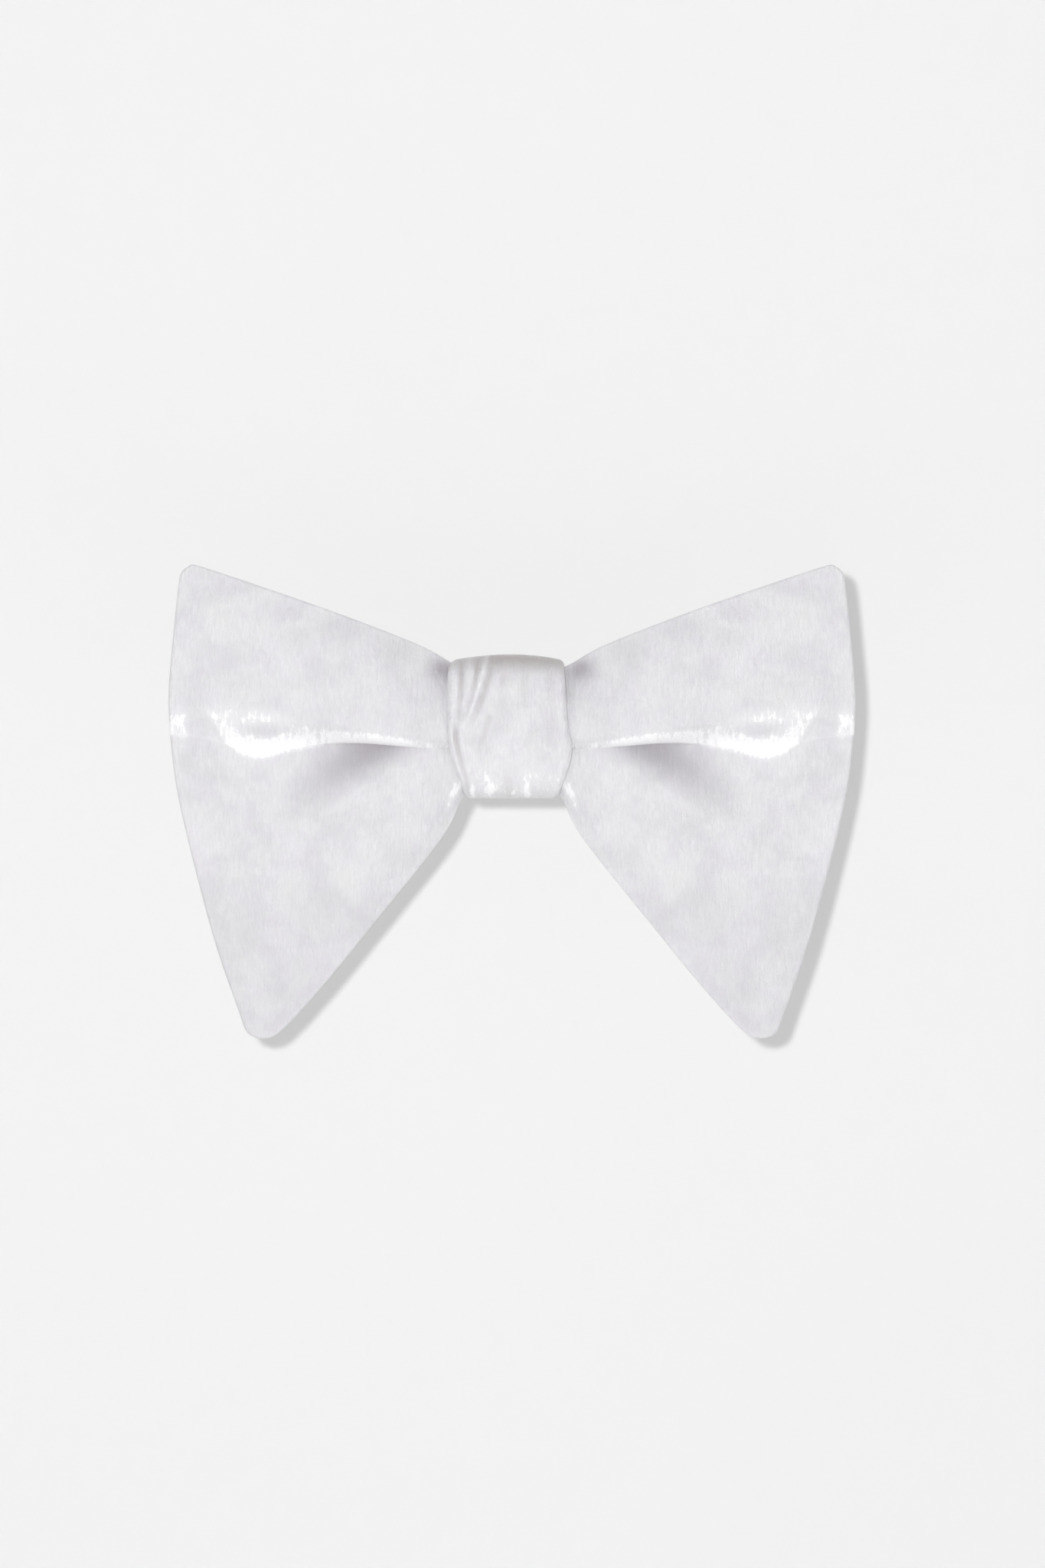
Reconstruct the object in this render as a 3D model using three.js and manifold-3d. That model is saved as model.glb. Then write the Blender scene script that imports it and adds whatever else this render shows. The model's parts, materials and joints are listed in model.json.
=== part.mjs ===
// A pre-tied butterfly bow tie: velvet bow, wrapped knot, and an adjustable neck strap with an open hook clasp.
//
// Frame, in millimetres: the wearer's neck axis is +Z through the origin, +X is to the right of someone facing
// the wearer, and the bow is in front of the neck, at -Y. Height 0 is the middle of the strap and of the knot.
// Angles along the strap are in degrees from the nape (+Y), positive towards +X, so the bow is at 180.
import * as THREE from "three";
import { mergeVertices } from "three/addons/utils/BufferGeometryUtils.js";
import Module from "manifold-3d";

const wasm = await Module();
wasm.setup();

// ---- Driving dimensions ----

const GAP = 0.3; // between any two pieces that touch on the real thing

// Bow
const BOW_HALF_WIDTH = 75.2; // knot centre to the fullest point of a wing's outer edge
const TOP_CORNER_HEIGHT = 35.4; // of a wing, above the knot's centre
const TIP_DROP = 68.2; // of a wing's lower point, below the knot's centre
const CREST_DEPTH = 8.5; // how far the middle of a wing stands forward of its edges
const PLEAT_DEPTH = 3.8; // of the pinched fold beside the knot
const FACE_THICKNESS = 1.2; // velvet with its pile
const CANVAS_THICKNESS = 0.8;
const LINING_THICKNESS = 0.8;
const LAYER_GAP = 0.6; // more than GAP, since the layers' facets cross each other
const CANVAS_INSET = 0.04; // share of the panel that the canvas stops short at each edge, for the seam

// Knot
const KNOT_HEIGHT = 31.6;
const KNOT_TOP_WIDTH = 24.7;
const KNOT_WIDTH = 27.9; // at its fullest, a little below the middle
const KNOT_BOTTOM_WIDTH = 19.3;
const WRAP_THICKNESS = 1.6;
const KNOT_CANVAS_THICKNESS = 1.0;
const KNOT_CORNER = 5; // rounding of the wrap where it turns over the top and bottom
const KNOT_ROUNDING = 2; // how much further forward its middle stands than its sides
const WAIST_CREST = 4; // how far the gathered cloth bulges forward at the waist
const KNOT_EASE = 0.2; // room above and below the thread, inside the knot
const KNOT_FRONT_EASE = 2; // room in front of it
const THREAD_BUNDLE = 1.2; // thickness of the wound thread
const THREAD_WIDTH = 5;

// Strap
const STRAP_RADIUS = 64; // neck axis to the middle of the strap
const STRAP_THICKNESS = 1.0;
const STRAP_WIDTH = 16;
const HINGE_CLEAR = 2.05; // from the knot's side to where each half starts to swing
const TURNED_END = 9; // length of strap folded back and sewn at a bar
const TAKE_UP_FROM = 100; // angle at which the stretch of strap that runs through the adjuster begins
const TACK_THICKNESS = 0.4; // a row of stitches standing on the cloth
const TACK_WIDTH = 1.6;

// Metalwork
const METAL = 1.2; // sheet thickness and bar diameter
const RAIL = 1.7; // width of the side rails, beyond the strap's edge
const HOOK_BAR_ANGLE = 20;
const EYE_BAR_ANGLE = -16;
const ADJUSTER_ANGLE = 50;
const ADJUSTER_LENGTH = 13; // along the strap
const SLOT_EASE = 0.9; // room beyond the strap in the hook's and the eye's strap slot
const HOOK_REACH = 9; // plate and tongue beyond the slot
const TONGUE_WIDTH = 7;
const TONGUE_RISE = 2.6; // height of the hook's bend, across the plate
const TONGUE_RETURN = 5; // length of the hook's bent-back end
const EYE_WINDOW = 5.4; // opening for the hook, along the strap
const EYE_WINDOW_WIDTH = 10;

// Facets
const ROUND_STEP_DEG = 20; // on the small turns round a bar
const STRAP_STEP_DEG = 4;
const WING_COLUMNS = 15; // their spacing is more than the canvas's inset, and so is that of the rows
const WING_ROWS = 16;
const KNOT_STEPS = 6;

// ---- Places worked out from them ----

const OVERHANG = GAP + STRAP_THICKNESS / 2; // from a bar's surface to the middle of the strap round it
const TURN_RADIUS = METAL / 2 + OVERHANG; // of the strap's middle line round a bar
const BAR_RADIUS = STRAP_RADIUS - TURN_RADIUS; // neck axis to the hook's and the eye's bar
const TAIL_RADIUS_AT_HOOK = BAR_RADIUS - TURN_RADIUS;
const TAIL_RADIUS = STRAP_RADIUS - STRAP_THICKNESS - GAP; // close under the strap, at the adjuster
const ADJUSTER_BAR_RADIUS = TAIL_RADIUS - TURN_RADIUS;
const HARDWARE_WIDTH = STRAP_WIDTH + 2 * (GAP + RAIL);

const SLOT_LENGTH = STRAP_THICKNESS + GAP + SLOT_EASE;

// The knot, from its back to its front: the wrap, the strap, the thread round the bow's waist, and the wrap again.
const HINGE_ANGLE = 180 - THREE.MathUtils.radToDeg(Math.asin((KNOT_WIDTH / 2 + HINGE_CLEAR) / STRAP_RADIUS));
const KNOT_BACK_Y = -Math.sqrt(STRAP_RADIUS ** 2 - (KNOT_WIDTH / 2) ** 2)
  + STRAP_THICKNESS / 2 + GAP + WRAP_THICKNESS;
const THREAD_BACK_Y = -(STRAP_RADIUS + STRAP_THICKNESS / 2 + 2 * GAP);
const LINING_BACK_Y = THREAD_BACK_Y - THREAD_BUNDLE - GAP;
const CANVAS_OFFSET = LINING_THICKNESS + LAYER_GAP; // from the lining's back, and so is the velvet's
const FACE_OFFSET = CANVAS_OFFSET + CANVAS_THICKNESS + LAYER_GAP;
const THREAD_FRONT_Y = LINING_BACK_Y - FACE_OFFSET - FACE_THICKNESS - WAIST_CREST - GAP - THREAD_BUNDLE;
const KNOT_FRONT_Y = THREAD_FRONT_Y - KNOT_FRONT_EASE - KNOT_CANVAS_THICKNESS - GAP - WRAP_THICKNESS;
const THREAD_HALF_HEIGHT = KNOT_HEIGHT / 2 - WRAP_THICKNESS - GAP - KNOT_CANVAS_THICKNESS - GAP - KNOT_EASE;
const WAIST_HALF_HEIGHT = THREAD_HALF_HEIGHT - THREAD_BUNDLE - 2 * GAP;

// ---- Materials ----

function cloth(color, roughness) {
  return new THREE.MeshStandardMaterial({ color, roughness, metalness: 0 });
}

const materials = {
  velvet: cloth(0xe4e3e7, 0.75),
  satin: cloth(0xeceaea, 0.4),
  canvas: cloth(0xe9e4d8, 0.95),
  thread: cloth(0xf4f2ee, 0.7),
  nickel: new THREE.MeshStandardMaterial({ color: 0xc9cacc, roughness: 0.25, metalness: 1 }),
};

const bowTie = new THREE.Group();

function add(name, material, geometry, angle = 0) {
  const mesh = new THREE.Mesh(geometry, material);
  mesh.name = name;
  mesh.rotation.z = -THREE.MathUtils.degToRad(angle);
  bowTie.add(mesh);
}

// ---- Joining solids ----

function solidOf(geometry) {
  const bare = new THREE.BufferGeometry().setAttribute("position", geometry.getAttribute("position"));
  if (geometry.index) bare.setIndex(geometry.index);
  const merged = mergeVertices(bare, 1e-4);
  return new wasm.Manifold(new wasm.Mesh({
    numProp: 3,
    vertProperties: merged.attributes.position.array,
    triVerts: new Uint32Array(merged.index.array),
  }));
}

function geometryOf(solid) {
  const mesh = solid.getMesh();
  return new THREE.BufferGeometry()
    .setAttribute("position", new THREE.BufferAttribute(new Float32Array(mesh.vertProperties), 3))
    .setIndex(new THREE.BufferAttribute(mesh.triVerts, 1));
}

function joined(...geometries) {
  return geometryOf(geometries.map(solidOf).reduce((whole, piece) => whole.add(piece)));
}

// ---- The bow's panels ----

// Outline of the right wing in x, z. The top and bottom edges start at the waist; the outer edge runs tip to corner.
function splineThrough(points) {
  return new THREE.SplineCurve(points.map(([x, z]) => new THREE.Vector2(x, z)));
}

const topEdge = splineThrough([
  [0, WAIST_HALF_HEIGHT],
  [KNOT_TOP_WIDTH / 2, WAIST_HALF_HEIGHT + 1.6],
  [KNOT_TOP_WIDTH / 2 + 7.2, 0.49 * TOP_CORNER_HEIGHT],
  [0.48 * BOW_HALF_WIDTH, 0.68 * TOP_CORNER_HEIGHT],
  [0.7 * BOW_HALF_WIDTH, 0.84 * TOP_CORNER_HEIGHT],
  [0.94 * BOW_HALF_WIDTH, TOP_CORNER_HEIGHT],
]);
const bottomEdge = splineThrough([
  [0, -WAIST_HALF_HEIGHT],
  [KNOT_BOTTOM_WIDTH / 2 + 1, -WAIST_HALF_HEIGHT - 1.2],
  [KNOT_BOTTOM_WIDTH / 2 + 5.8, -0.36 * TIP_DROP],
  [0.34 * BOW_HALF_WIDTH, -0.55 * TIP_DROP],
  [0.56 * BOW_HALF_WIDTH, -0.85 * TIP_DROP],
  [0.715 * BOW_HALF_WIDTH, -TIP_DROP],
]);
const outerEdge = splineThrough([
  [0.715 * BOW_HALF_WIDTH, -TIP_DROP],
  [0.79 * BOW_HALF_WIDTH, -0.93 * TIP_DROP],
  [0.86 * BOW_HALF_WIDTH, -0.7 * TIP_DROP],
  [0.935 * BOW_HALF_WIDTH, -0.405 * TIP_DROP],
  [0.985 * BOW_HALF_WIDTH, -0.11 * TIP_DROP],
  [BOW_HALF_WIDTH, 0.18 * TOP_CORNER_HEIGHT],
  [0.985 * BOW_HALF_WIDTH, 0.6 * TOP_CORNER_HEIGHT],
  [0.968 * BOW_HALF_WIDTH, 0.93 * TOP_CORNER_HEIGHT],
  [0.94 * BOW_HALF_WIDTH, TOP_CORNER_HEIGHT],
]);
const waistLine = new THREE.LineCurve(topEdge.getPoint(0), bottomEdge.getPoint(0));

// A Coons patch between the four edges: u from the waist (0) to the outer edge (1), v from bottom (0) to top (1).
function outlinePoint(u, v) {
  const top = topEdge.getPoint(u);
  const bottom = bottomEdge.getPoint(u);
  const waist = waistLine.getPoint(1 - v);
  const outer = outerEdge.getPoint(v);
  const ruled = bottom.clone().lerp(top, v).add(waist.lerp(outer, u));
  const nearSide = waistLine.getPoint(1).lerp(waistLine.getPoint(0), v);
  const farSide = outerEdge.getPoint(0).lerp(outerEdge.getPoint(1), v);
  return ruled.sub(nearSide.lerp(farSide, u));
}

const CREASE_V = 0.58; // where the pinched fold lies between the bottom and the top edge
const KNOT_SHARE = 1 / 5; // u at the knot's side, which is the second of the six points on the long edges

// How far the cloth stands forward of its back-most line: crowned between its edges, pinched beside the knot.
function bulge(u, v) {
  const across = v > CREASE_V ? (v - CREASE_V) / (1 - CREASE_V) : (CREASE_V - v) / CREASE_V;
  const spread = THREE.MathUtils.smoothstep(u, KNOT_SHARE, 0.45);
  const crest = THREE.MathUtils.lerp(WAIST_CREST, CREST_DEPTH, spread) * (1 - 0.3 * u * u);
  const pinch = PLEAT_DEPTH * (1 - THREE.MathUtils.smoothstep(u, 0.3, 0.8)) * spread;
  return crest * (1 - across * across) - pinch * Math.exp(-(((v - CREASE_V + 0.08) / 0.1) ** 2));
}

// A point of the right wing's back-most surface, exact where the grid's lines cross and on the facets between them,
// so that a layer whose edges fall between the lines stays parallel to its neighbours.
function wingPoint(u, v) {
  const column = Math.min(Math.floor(u * WING_COLUMNS + 0.001), WING_COLUMNS - 1);
  const row = Math.min(Math.floor(v * WING_ROWS + 0.001), WING_ROWS - 1);
  const crossing = (i, j) => {
    const { x, y: z } = outlinePoint(i / WING_COLUMNS, j / WING_ROWS);
    return new THREE.Vector3(x, LINING_BACK_Y - Math.max(bulge(i / WING_COLUMNS, j / WING_ROWS), 0), z);
  };
  const along = u * WING_COLUMNS - column;
  const below = crossing(column, row).lerp(crossing(column + 1, row), along);
  const above = crossing(column, row + 1).lerp(crossing(column + 1, row + 1), along);
  return below.lerp(above, v * WING_ROWS - row);
}

// One layer of the bow from wing tip to wing tip: a subdivided slab whose grid is laid on the outline.
function bowLayer(backOffset, thickness, inset) {
  const slab = new THREE.BoxGeometry(2, 1, 1, 2 * WING_COLUMNS, WING_ROWS, 1);
  const position = slab.getAttribute("position");
  for (let i = 0; i < position.count; i++) {
    const u = Math.min(Math.abs(position.getX(i)), 1 - inset);
    const v = THREE.MathUtils.clamp(position.getY(i) + 0.5, inset, 1 - inset);
    const point = wingPoint(u, v);
    const forward = backOffset + thickness * (position.getZ(i) + 0.5);
    position.setXYZ(i, Math.sign(position.getX(i)) * point.x, point.y - forward, point.z);
  }
  return slab;
}

add("bow_lining", materials.satin, bowLayer(0, LINING_THICKNESS, 0));
add("bow_canvas", materials.canvas, bowLayer(CANVAS_OFFSET, CANVAS_THICKNESS, CANVAS_INSET));
add("bow_velvet_face", materials.velvet, bowLayer(FACE_OFFSET, FACE_THICKNESS, 0));

// ---- The knot ----

// The points of a rounded rectangle in shape coordinates: x is depth in front of the neck axis, y is height.
function roundedBox(back, front, halfHeight, radius) {
  const straight = halfHeight - radius;
  const corner = (x, y, from) => Array.from({ length: KNOT_STEPS + 1 }, (_, i) => {
    const a = THREE.MathUtils.degToRad(from + 90 * (i / KNOT_STEPS));
    return new THREE.Vector2(x + radius * Math.cos(a), y + radius * Math.sin(a));
  });
  const upright = (x, towards) => Array.from({ length: KNOT_STEPS - 1 }, (_, i) =>
    new THREE.Vector2(x, towards * straight * (2 * ((i + 1) / KNOT_STEPS) - 1)));
  return [
    ...corner(front - radius, -straight, -90),
    ...upright(front, 1),
    ...corner(front - radius, straight, 0),
    ...corner(back + radius, straight, 90),
    ...upright(back, -1),
    ...corner(back + radius, -straight, 180),
  ];
}

// Extrudes a depth-and-height outline across the bow, centred on x = 0.
function acrossBow(shape, width) {
  const geometry = new THREE.ExtrudeGeometry(shape, { depth: width, steps: KNOT_STEPS, bevelEnabled: false });
  geometry.translate(0, 0, -width / 2);
  const turned = new THREE.Matrix4().makeBasis(
    new THREE.Vector3(0, -1, 0),
    new THREE.Vector3(0, 0, 1),
    new THREE.Vector3(-1, 0, 0),
  );
  return geometry.applyMatrix4(turned);
}

// Half the knot's width at a height: fullest a little below the middle, narrowest at the bottom.
const knotSide = splineThrough([
  [KNOT_BOTTOM_WIDTH / 2, -KNOT_HEIGHT / 2],
  [0.9 * KNOT_WIDTH / 2, -KNOT_HEIGHT / 4],
  [KNOT_WIDTH / 2, 0],
  [0.97 * KNOT_WIDTH / 2, KNOT_HEIGHT / 4],
  [KNOT_TOP_WIDTH / 2, KNOT_HEIGHT / 2],
]);

// Widens or narrows a knot-wide solid to the knot's outline, and sets its sides back from its middle.
function shapedLikeKnot(geometry, share = 1) {
  const position = geometry.getAttribute("position");
  for (let i = 0; i < position.count; i++) {
    const side = position.getX(i) / (KNOT_WIDTH / 2);
    const level = THREE.MathUtils.clamp(position.getZ(i) / KNOT_HEIGHT + 0.5, 0, 1);
    const depth = (position.getY(i) - KNOT_BACK_Y) / (KNOT_FRONT_Y - KNOT_BACK_Y);
    position.setX(i, side * share * knotSide.getPoint(level).x);
    position.setY(i, position.getY(i) + KNOT_ROUNDING * depth * side * side);
  }
  return geometry;
}

function knotWrap() {
  const halfHeight = KNOT_HEIGHT / 2;
  const outline = new THREE.Shape(roundedBox(-KNOT_BACK_Y, -KNOT_FRONT_Y, halfHeight, KNOT_CORNER));
  outline.holes.push(new THREE.Path(roundedBox(
    -KNOT_BACK_Y + WRAP_THICKNESS,
    -KNOT_FRONT_Y - WRAP_THICKNESS,
    halfHeight - WRAP_THICKNESS,
    KNOT_CORNER - WRAP_THICKNESS,
  )));
  return shapedLikeKnot(acrossBow(outline, KNOT_WIDTH));
}

// A stiff strip inside the wrap, round its front, top and bottom, and open behind where the strap passes.
function knotCanvas() {
  const back = -THREAD_BACK_Y;
  const front = -KNOT_FRONT_Y - WRAP_THICKNESS - GAP;
  const halfHeight = KNOT_HEIGHT / 2 - WRAP_THICKNESS - GAP;
  const radius = KNOT_CORNER - WRAP_THICKNESS - GAP;
  const bentStrip = (offset) => roundedBox(back - radius, front - offset, halfHeight - offset, radius - offset)
    .filter((point) => point.x > back);
  const [outer, inner] = [bentStrip(0), bentStrip(KNOT_CANVAS_THICKNESS)];
  const strip = new THREE.Shape([
    new THREE.Vector2(back, -halfHeight),
    ...outer,
    new THREE.Vector2(back, halfHeight),
    new THREE.Vector2(back, halfHeight - KNOT_CANVAS_THICKNESS),
    ...inner.reverse(),
    new THREE.Vector2(back, -halfHeight + KNOT_CANVAS_THICKNESS),
  ]);
  return shapedLikeKnot(acrossBow(strip, KNOT_WIDTH), 0.93);
}

// The thread wound round the waist, as one band.
function gatherThread() {
  const radius = THREAD_BUNDLE + GAP;
  const bundle = new THREE.Shape(roundedBox(-THREAD_BACK_Y, -THREAD_FRONT_Y, THREAD_HALF_HEIGHT, radius));
  bundle.holes.push(new THREE.Path(roundedBox(
    -THREAD_BACK_Y + THREAD_BUNDLE,
    -THREAD_FRONT_Y - THREAD_BUNDLE,
    THREAD_HALF_HEIGHT - THREAD_BUNDLE,
    radius - THREAD_BUNDLE,
  )));
  return acrossBow(bundle, THREAD_WIDTH);
}

// The stitches that close the wrap behind the knot, low on its flat back.
function knotTack() {
  return new THREE.BoxGeometry(KNOT_BOTTOM_WIDTH / 2, TACK_THICKNESS, TACK_WIDTH)
    .translate(0, KNOT_BACK_Y + GAP + TACK_THICKNESS / 2, -KNOT_HEIGHT / 2 + KNOT_CORNER + TACK_WIDTH);
}

add("gather_thread", materials.thread, gatherThread());
add("knot_canvas", materials.canvas, knotCanvas());
add("knot_wrap", materials.velvet, knotWrap());
add("knot_tack", materials.thread, knotTack());

// ---- The strap ----

// A point at a radius and angle from the nape, plus a local offset: along points away from the nape, towards +X.
function polar(radius, angle, along = 0, outward = 0) {
  const a = THREE.MathUtils.degToRad(angle);
  const r = radius + outward;
  return new THREE.Vector2(r * Math.sin(a) + along * Math.cos(a), r * Math.cos(a) - along * Math.sin(a));
}

function degreesFor(length, radius = STRAP_RADIUS) {
  return THREE.MathUtils.radToDeg(length / radius);
}

// A run of middle line from one angle to another, its radius changing evenly on the way.
function run(from, to, radiusFrom = STRAP_RADIUS, radiusTo = radiusFrom) {
  const steps = Math.max(2, Math.ceil(Math.abs(to - from) / STRAP_STEP_DEG));
  return Array.from({ length: steps + 1 }, (_, i) => {
    const t = i / steps;
    return polar(THREE.MathUtils.lerp(radiusFrom, radiusTo, t), THREE.MathUtils.lerp(from, to, t));
  });
}

// A half turn round a bar, from outside it to inside it; towards is -1 where the bight points at smaller angles.
function turnRound(barRadius, barAngle, towards) {
  const steps = 180 / ROUND_STEP_DEG;
  return Array.from({ length: steps + 1 }, (_, i) => {
    const turn = Math.PI * (i / steps);
    const along = towards * TURN_RADIUS * Math.sin(turn);
    return polar(barRadius, barAngle, along, TURN_RADIUS * Math.cos(turn));
  });
}

// A strip of strap that follows a middle line, its width standing upright.
function ribbon(middle) {
  const sides = [[], []];
  middle.forEach((point, i) => {
    const before = middle[Math.max(i - 1, 0)];
    const after = middle[Math.min(i + 1, middle.length - 1)];
    const along = after.clone().sub(before).normalize();
    const aside = new THREE.Vector2(-along.y, along.x).multiplyScalar(STRAP_THICKNESS / 2);
    sides[0].push(point.clone().add(aside));
    sides[1].unshift(point.clone().sub(aside));
  });
  const shape = new THREE.Shape(sides.flat());
  const strip = new THREE.ExtrudeGeometry(shape, { depth: STRAP_WIDTH, bevelEnabled: false });
  return strip.translate(0, 0, -STRAP_WIDTH / 2);
}

// Where a turned end lies once it is sewn against the inside of the strap at a radius.
function sewnRadius(strapRadius) {
  return strapRadius - STRAP_THICKNESS - 2 * GAP;
}

// The end of the strap, round a bar and back along itself to where it is sewn.
function turnedEnd(barRadius, barAngle, towards, outerLead) {
  const outerRadius = barRadius + TURN_RADIUS;
  const closedAt = barAngle - towards * degreesFor(TURNED_END / 2, barRadius);
  const endsAt = barAngle - towards * degreesFor(TURNED_END, barRadius);
  return ribbon([
    ...run(barAngle - towards * outerLead, barAngle, outerRadius).slice(0, -1),
    ...turnRound(barRadius, barAngle, towards),
    ...run(barAngle, closedAt, barRadius - TURN_RADIUS, sewnRadius(outerRadius)).slice(1),
    ...run(closedAt, endsAt, sewnRadius(outerRadius)).slice(1),
  ]);
}

const gapAngle = degreesFor(GAP);
const foldLead = degreesFor(4);

add("strap_centre", materials.satin, ribbon(run(HINGE_ANGLE + gapAngle / 2, 360 - HINGE_ANGLE - gapAngle / 2)));
add("strap_left", materials.satin, ribbon(run(-HINGE_ANGLE + gapAngle / 2, EYE_BAR_ANGLE - foldLead - gapAngle)));
add("strap_left_end", materials.satin, turnedEnd(BAR_RADIUS, EYE_BAR_ANGLE, 1, foldLead));
add("strap_right", materials.satin, ribbon(run(HINGE_ANGLE - gapAngle / 2, TAKE_UP_FROM + gapAngle / 2)));
add("strap_take_up", materials.satin,
  ribbon(run(TAKE_UP_FROM - gapAngle / 2, HOOK_BAR_ANGLE + foldLead + gapAngle)));

// Round the hook's bar: the strap comes in outside it and leaves inside it as the tail.
add("strap_hook_bight", materials.satin, ribbon([
  ...run(HOOK_BAR_ANGLE + foldLead, HOOK_BAR_ANGLE).slice(0, -1),
  ...turnRound(BAR_RADIUS, HOOK_BAR_ANGLE, -1),
  ...run(HOOK_BAR_ANGLE, HOOK_BAR_ANGLE + foldLead, TAIL_RADIUS_AT_HOOK).slice(1),
]));
add("strap_tail", materials.satin, ribbon(run(
  HOOK_BAR_ANGLE + foldLead + gapAngle,
  ADJUSTER_ANGLE - foldLead - gapAngle,
  TAIL_RADIUS_AT_HOOK,
  TAIL_RADIUS,
)));
add("strap_tail_end", materials.satin, turnedEnd(ADJUSTER_BAR_RADIUS, ADJUSTER_ANGLE, 1, foldLead));

// The stitches that hold a turned end down, lying on the outside or the inside of the strap at a radius.
function barTack(radius, side) {
  const middle = radius + side * (STRAP_THICKNESS / 2 + GAP + TACK_THICKNESS / 2);
  return new THREE.BoxGeometry(TACK_WIDTH, TACK_THICKNESS, STRAP_WIDTH - 3).translate(0, middle, 0);
}

const tackBack = degreesFor(0.8 * TURNED_END);
add("eye_tack", materials.thread, barTack(STRAP_RADIUS, 1), EYE_BAR_ANGLE - tackBack);
add("adjuster_tack", materials.thread, barTack(sewnRadius(TAIL_RADIUS), -1), ADJUSTER_ANGLE - tackBack);

// ---- The metalwork, modelled at the nape, with +Y outward and -X towards the clasp, then turned to its angle ----

// A box from one corner to the opposite one.
function block([x0, y0, z0], [x1, y1, z1]) {
  return new THREE.BoxGeometry(x1 - x0, y1 - y0, z1 - z0)
    .translate((x0 + x1) / 2, (y0 + y1) / 2, (z0 + z1) / 2);
}

function roundBar(x, y) {
  return new THREE.CylinderGeometry(METAL / 2, METAL / 2, HARDWARE_WIDTH - RAIL, 12)
    .rotateX(Math.PI / 2).translate(x, y, 0);
}

function rails(from, to, y) {
  const edge = HARDWARE_WIDTH / 2;
  return [-1, 1].map((side) => block(
    [from, y - METAL / 2, side > 0 ? edge - RAIL : -edge],
    [to, y + METAL / 2, side > 0 ? edge : -edge + RAIL],
  ));
}

// A frame whose bar carries the strap: the bar at x = 0, the plate on its -X side.
const plateStart = -(METAL / 2 + SLOT_LENGTH);

// The hook: a strap frame and a plate that narrows into a tongue, bent outward and back over itself.
function hook() {
  const half = HARDWARE_WIDTH / 2;
  const neck = plateStart - 2.4;
  const tip = plateStart - HOOK_REACH;
  const middle = BAR_RADIUS;
  const bend = TONGUE_RISE / 2;
  const tongue = new THREE.Shape();
  tongue.moveTo(neck + 1, middle - METAL / 2);
  tongue.absarc(tip + bend + METAL / 2, middle + bend, bend + METAL / 2, 1.5 * Math.PI, Math.PI / 2, true);
  tongue.lineTo(tip + TONGUE_RETURN, middle + TONGUE_RISE + METAL / 2);
  tongue.lineTo(tip + TONGUE_RETURN, middle + TONGUE_RISE - METAL / 2);
  tongue.absarc(tip + bend + METAL / 2, middle + bend, bend - METAL / 2, Math.PI / 2, 1.5 * Math.PI);
  tongue.lineTo(neck + 1, middle + METAL / 2);
  tongue.closePath();
  const bent = new THREE.ExtrudeGeometry(tongue, { depth: TONGUE_WIDTH, bevelEnabled: false, curveSegments: 8 })
    .translate(0, 0, -TONGUE_WIDTH / 2);
  return joined(
    roundBar(0, middle),
    ...rails(plateStart - METAL, METAL / 2, middle),
    block([neck, middle - METAL / 2, -half], [plateStart, middle + METAL / 2, half]),
    bent,
  );
}

// The eye: a strap frame and a window that the hook's tongue drops into. It is the mirror of the hook's side.
function eye() {
  const half = HARDWARE_WIDTH / 2;
  const middle = BAR_RADIUS;
  const inner = METAL / 2 + SLOT_LENGTH;
  const windowStart = inner + 1.6;
  const end = windowStart + EYE_WINDOW + 1.6;
  const plate = new THREE.Shape([
    new THREE.Vector2(inner, -half),
    new THREE.Vector2(windowStart + 1.5, -half),
    new THREE.Vector2(end, -half + 3.5),
    new THREE.Vector2(end, half - 3.5),
    new THREE.Vector2(windowStart + 1.5, half),
    new THREE.Vector2(inner, half),
  ]);
  plate.holes.push(new THREE.Path([
    new THREE.Vector2(windowStart, -EYE_WINDOW_WIDTH / 2),
    new THREE.Vector2(windowStart, EYE_WINDOW_WIDTH / 2),
    new THREE.Vector2(windowStart + EYE_WINDOW, EYE_WINDOW_WIDTH / 2),
    new THREE.Vector2(windowStart + EYE_WINDOW, -EYE_WINDOW_WIDTH / 2),
  ]));
  const flat = new THREE.ExtrudeGeometry(plate, { depth: METAL, bevelEnabled: false })
    .rotateX(Math.PI / 2).translate(0, middle + METAL / 2, 0);
  return joined(roundBar(0, middle), ...rails(-METAL / 2, inner + METAL, middle), flat);
}

// The adjuster: end bars outside the strap and a dropped middle bar inside it, joined by bent side rails.
function adjuster() {
  const half = HARDWARE_WIDTH / 2;
  const end = ADJUSTER_LENGTH / 2;
  const high = STRAP_RADIUS + STRAP_THICKNESS / 2 + GAP;
  const low = ADJUSTER_BAR_RADIUS - METAL / 2;
  const rail = new THREE.Shape([
    new THREE.Vector2(-end, high),
    new THREE.Vector2(-end + 1.8, high),
    new THREE.Vector2(-METAL, low),
    new THREE.Vector2(METAL, low),
    new THREE.Vector2(end - 1.8, high),
    new THREE.Vector2(end, high),
    new THREE.Vector2(end, high + METAL),
    new THREE.Vector2(end - 2.2, high + METAL),
    new THREE.Vector2(METAL, low + METAL),
    new THREE.Vector2(-METAL, low + METAL),
    new THREE.Vector2(-end + 2.2, high + METAL),
    new THREE.Vector2(-end, high + METAL),
  ]);
  const sides = [-half, half - RAIL].map((z) =>
    new THREE.ExtrudeGeometry(rail, { depth: RAIL, bevelEnabled: false }).translate(0, 0, z));
  const ends = [-end, end - 1.8].map((x) => block([x, high, -half + RAIL / 2], [x + 1.8, high + METAL, half - RAIL / 2]));
  return joined(roundBar(0, ADJUSTER_BAR_RADIUS), ...sides, ...ends);
}

add("hook", materials.nickel, hook(), HOOK_BAR_ANGLE);
add("eye", materials.nickel, eye(), EYE_BAR_ANGLE);
add("adjuster", materials.nickel, adjuster(), ADJUSTER_ANGLE);

export default bowTie;
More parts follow.
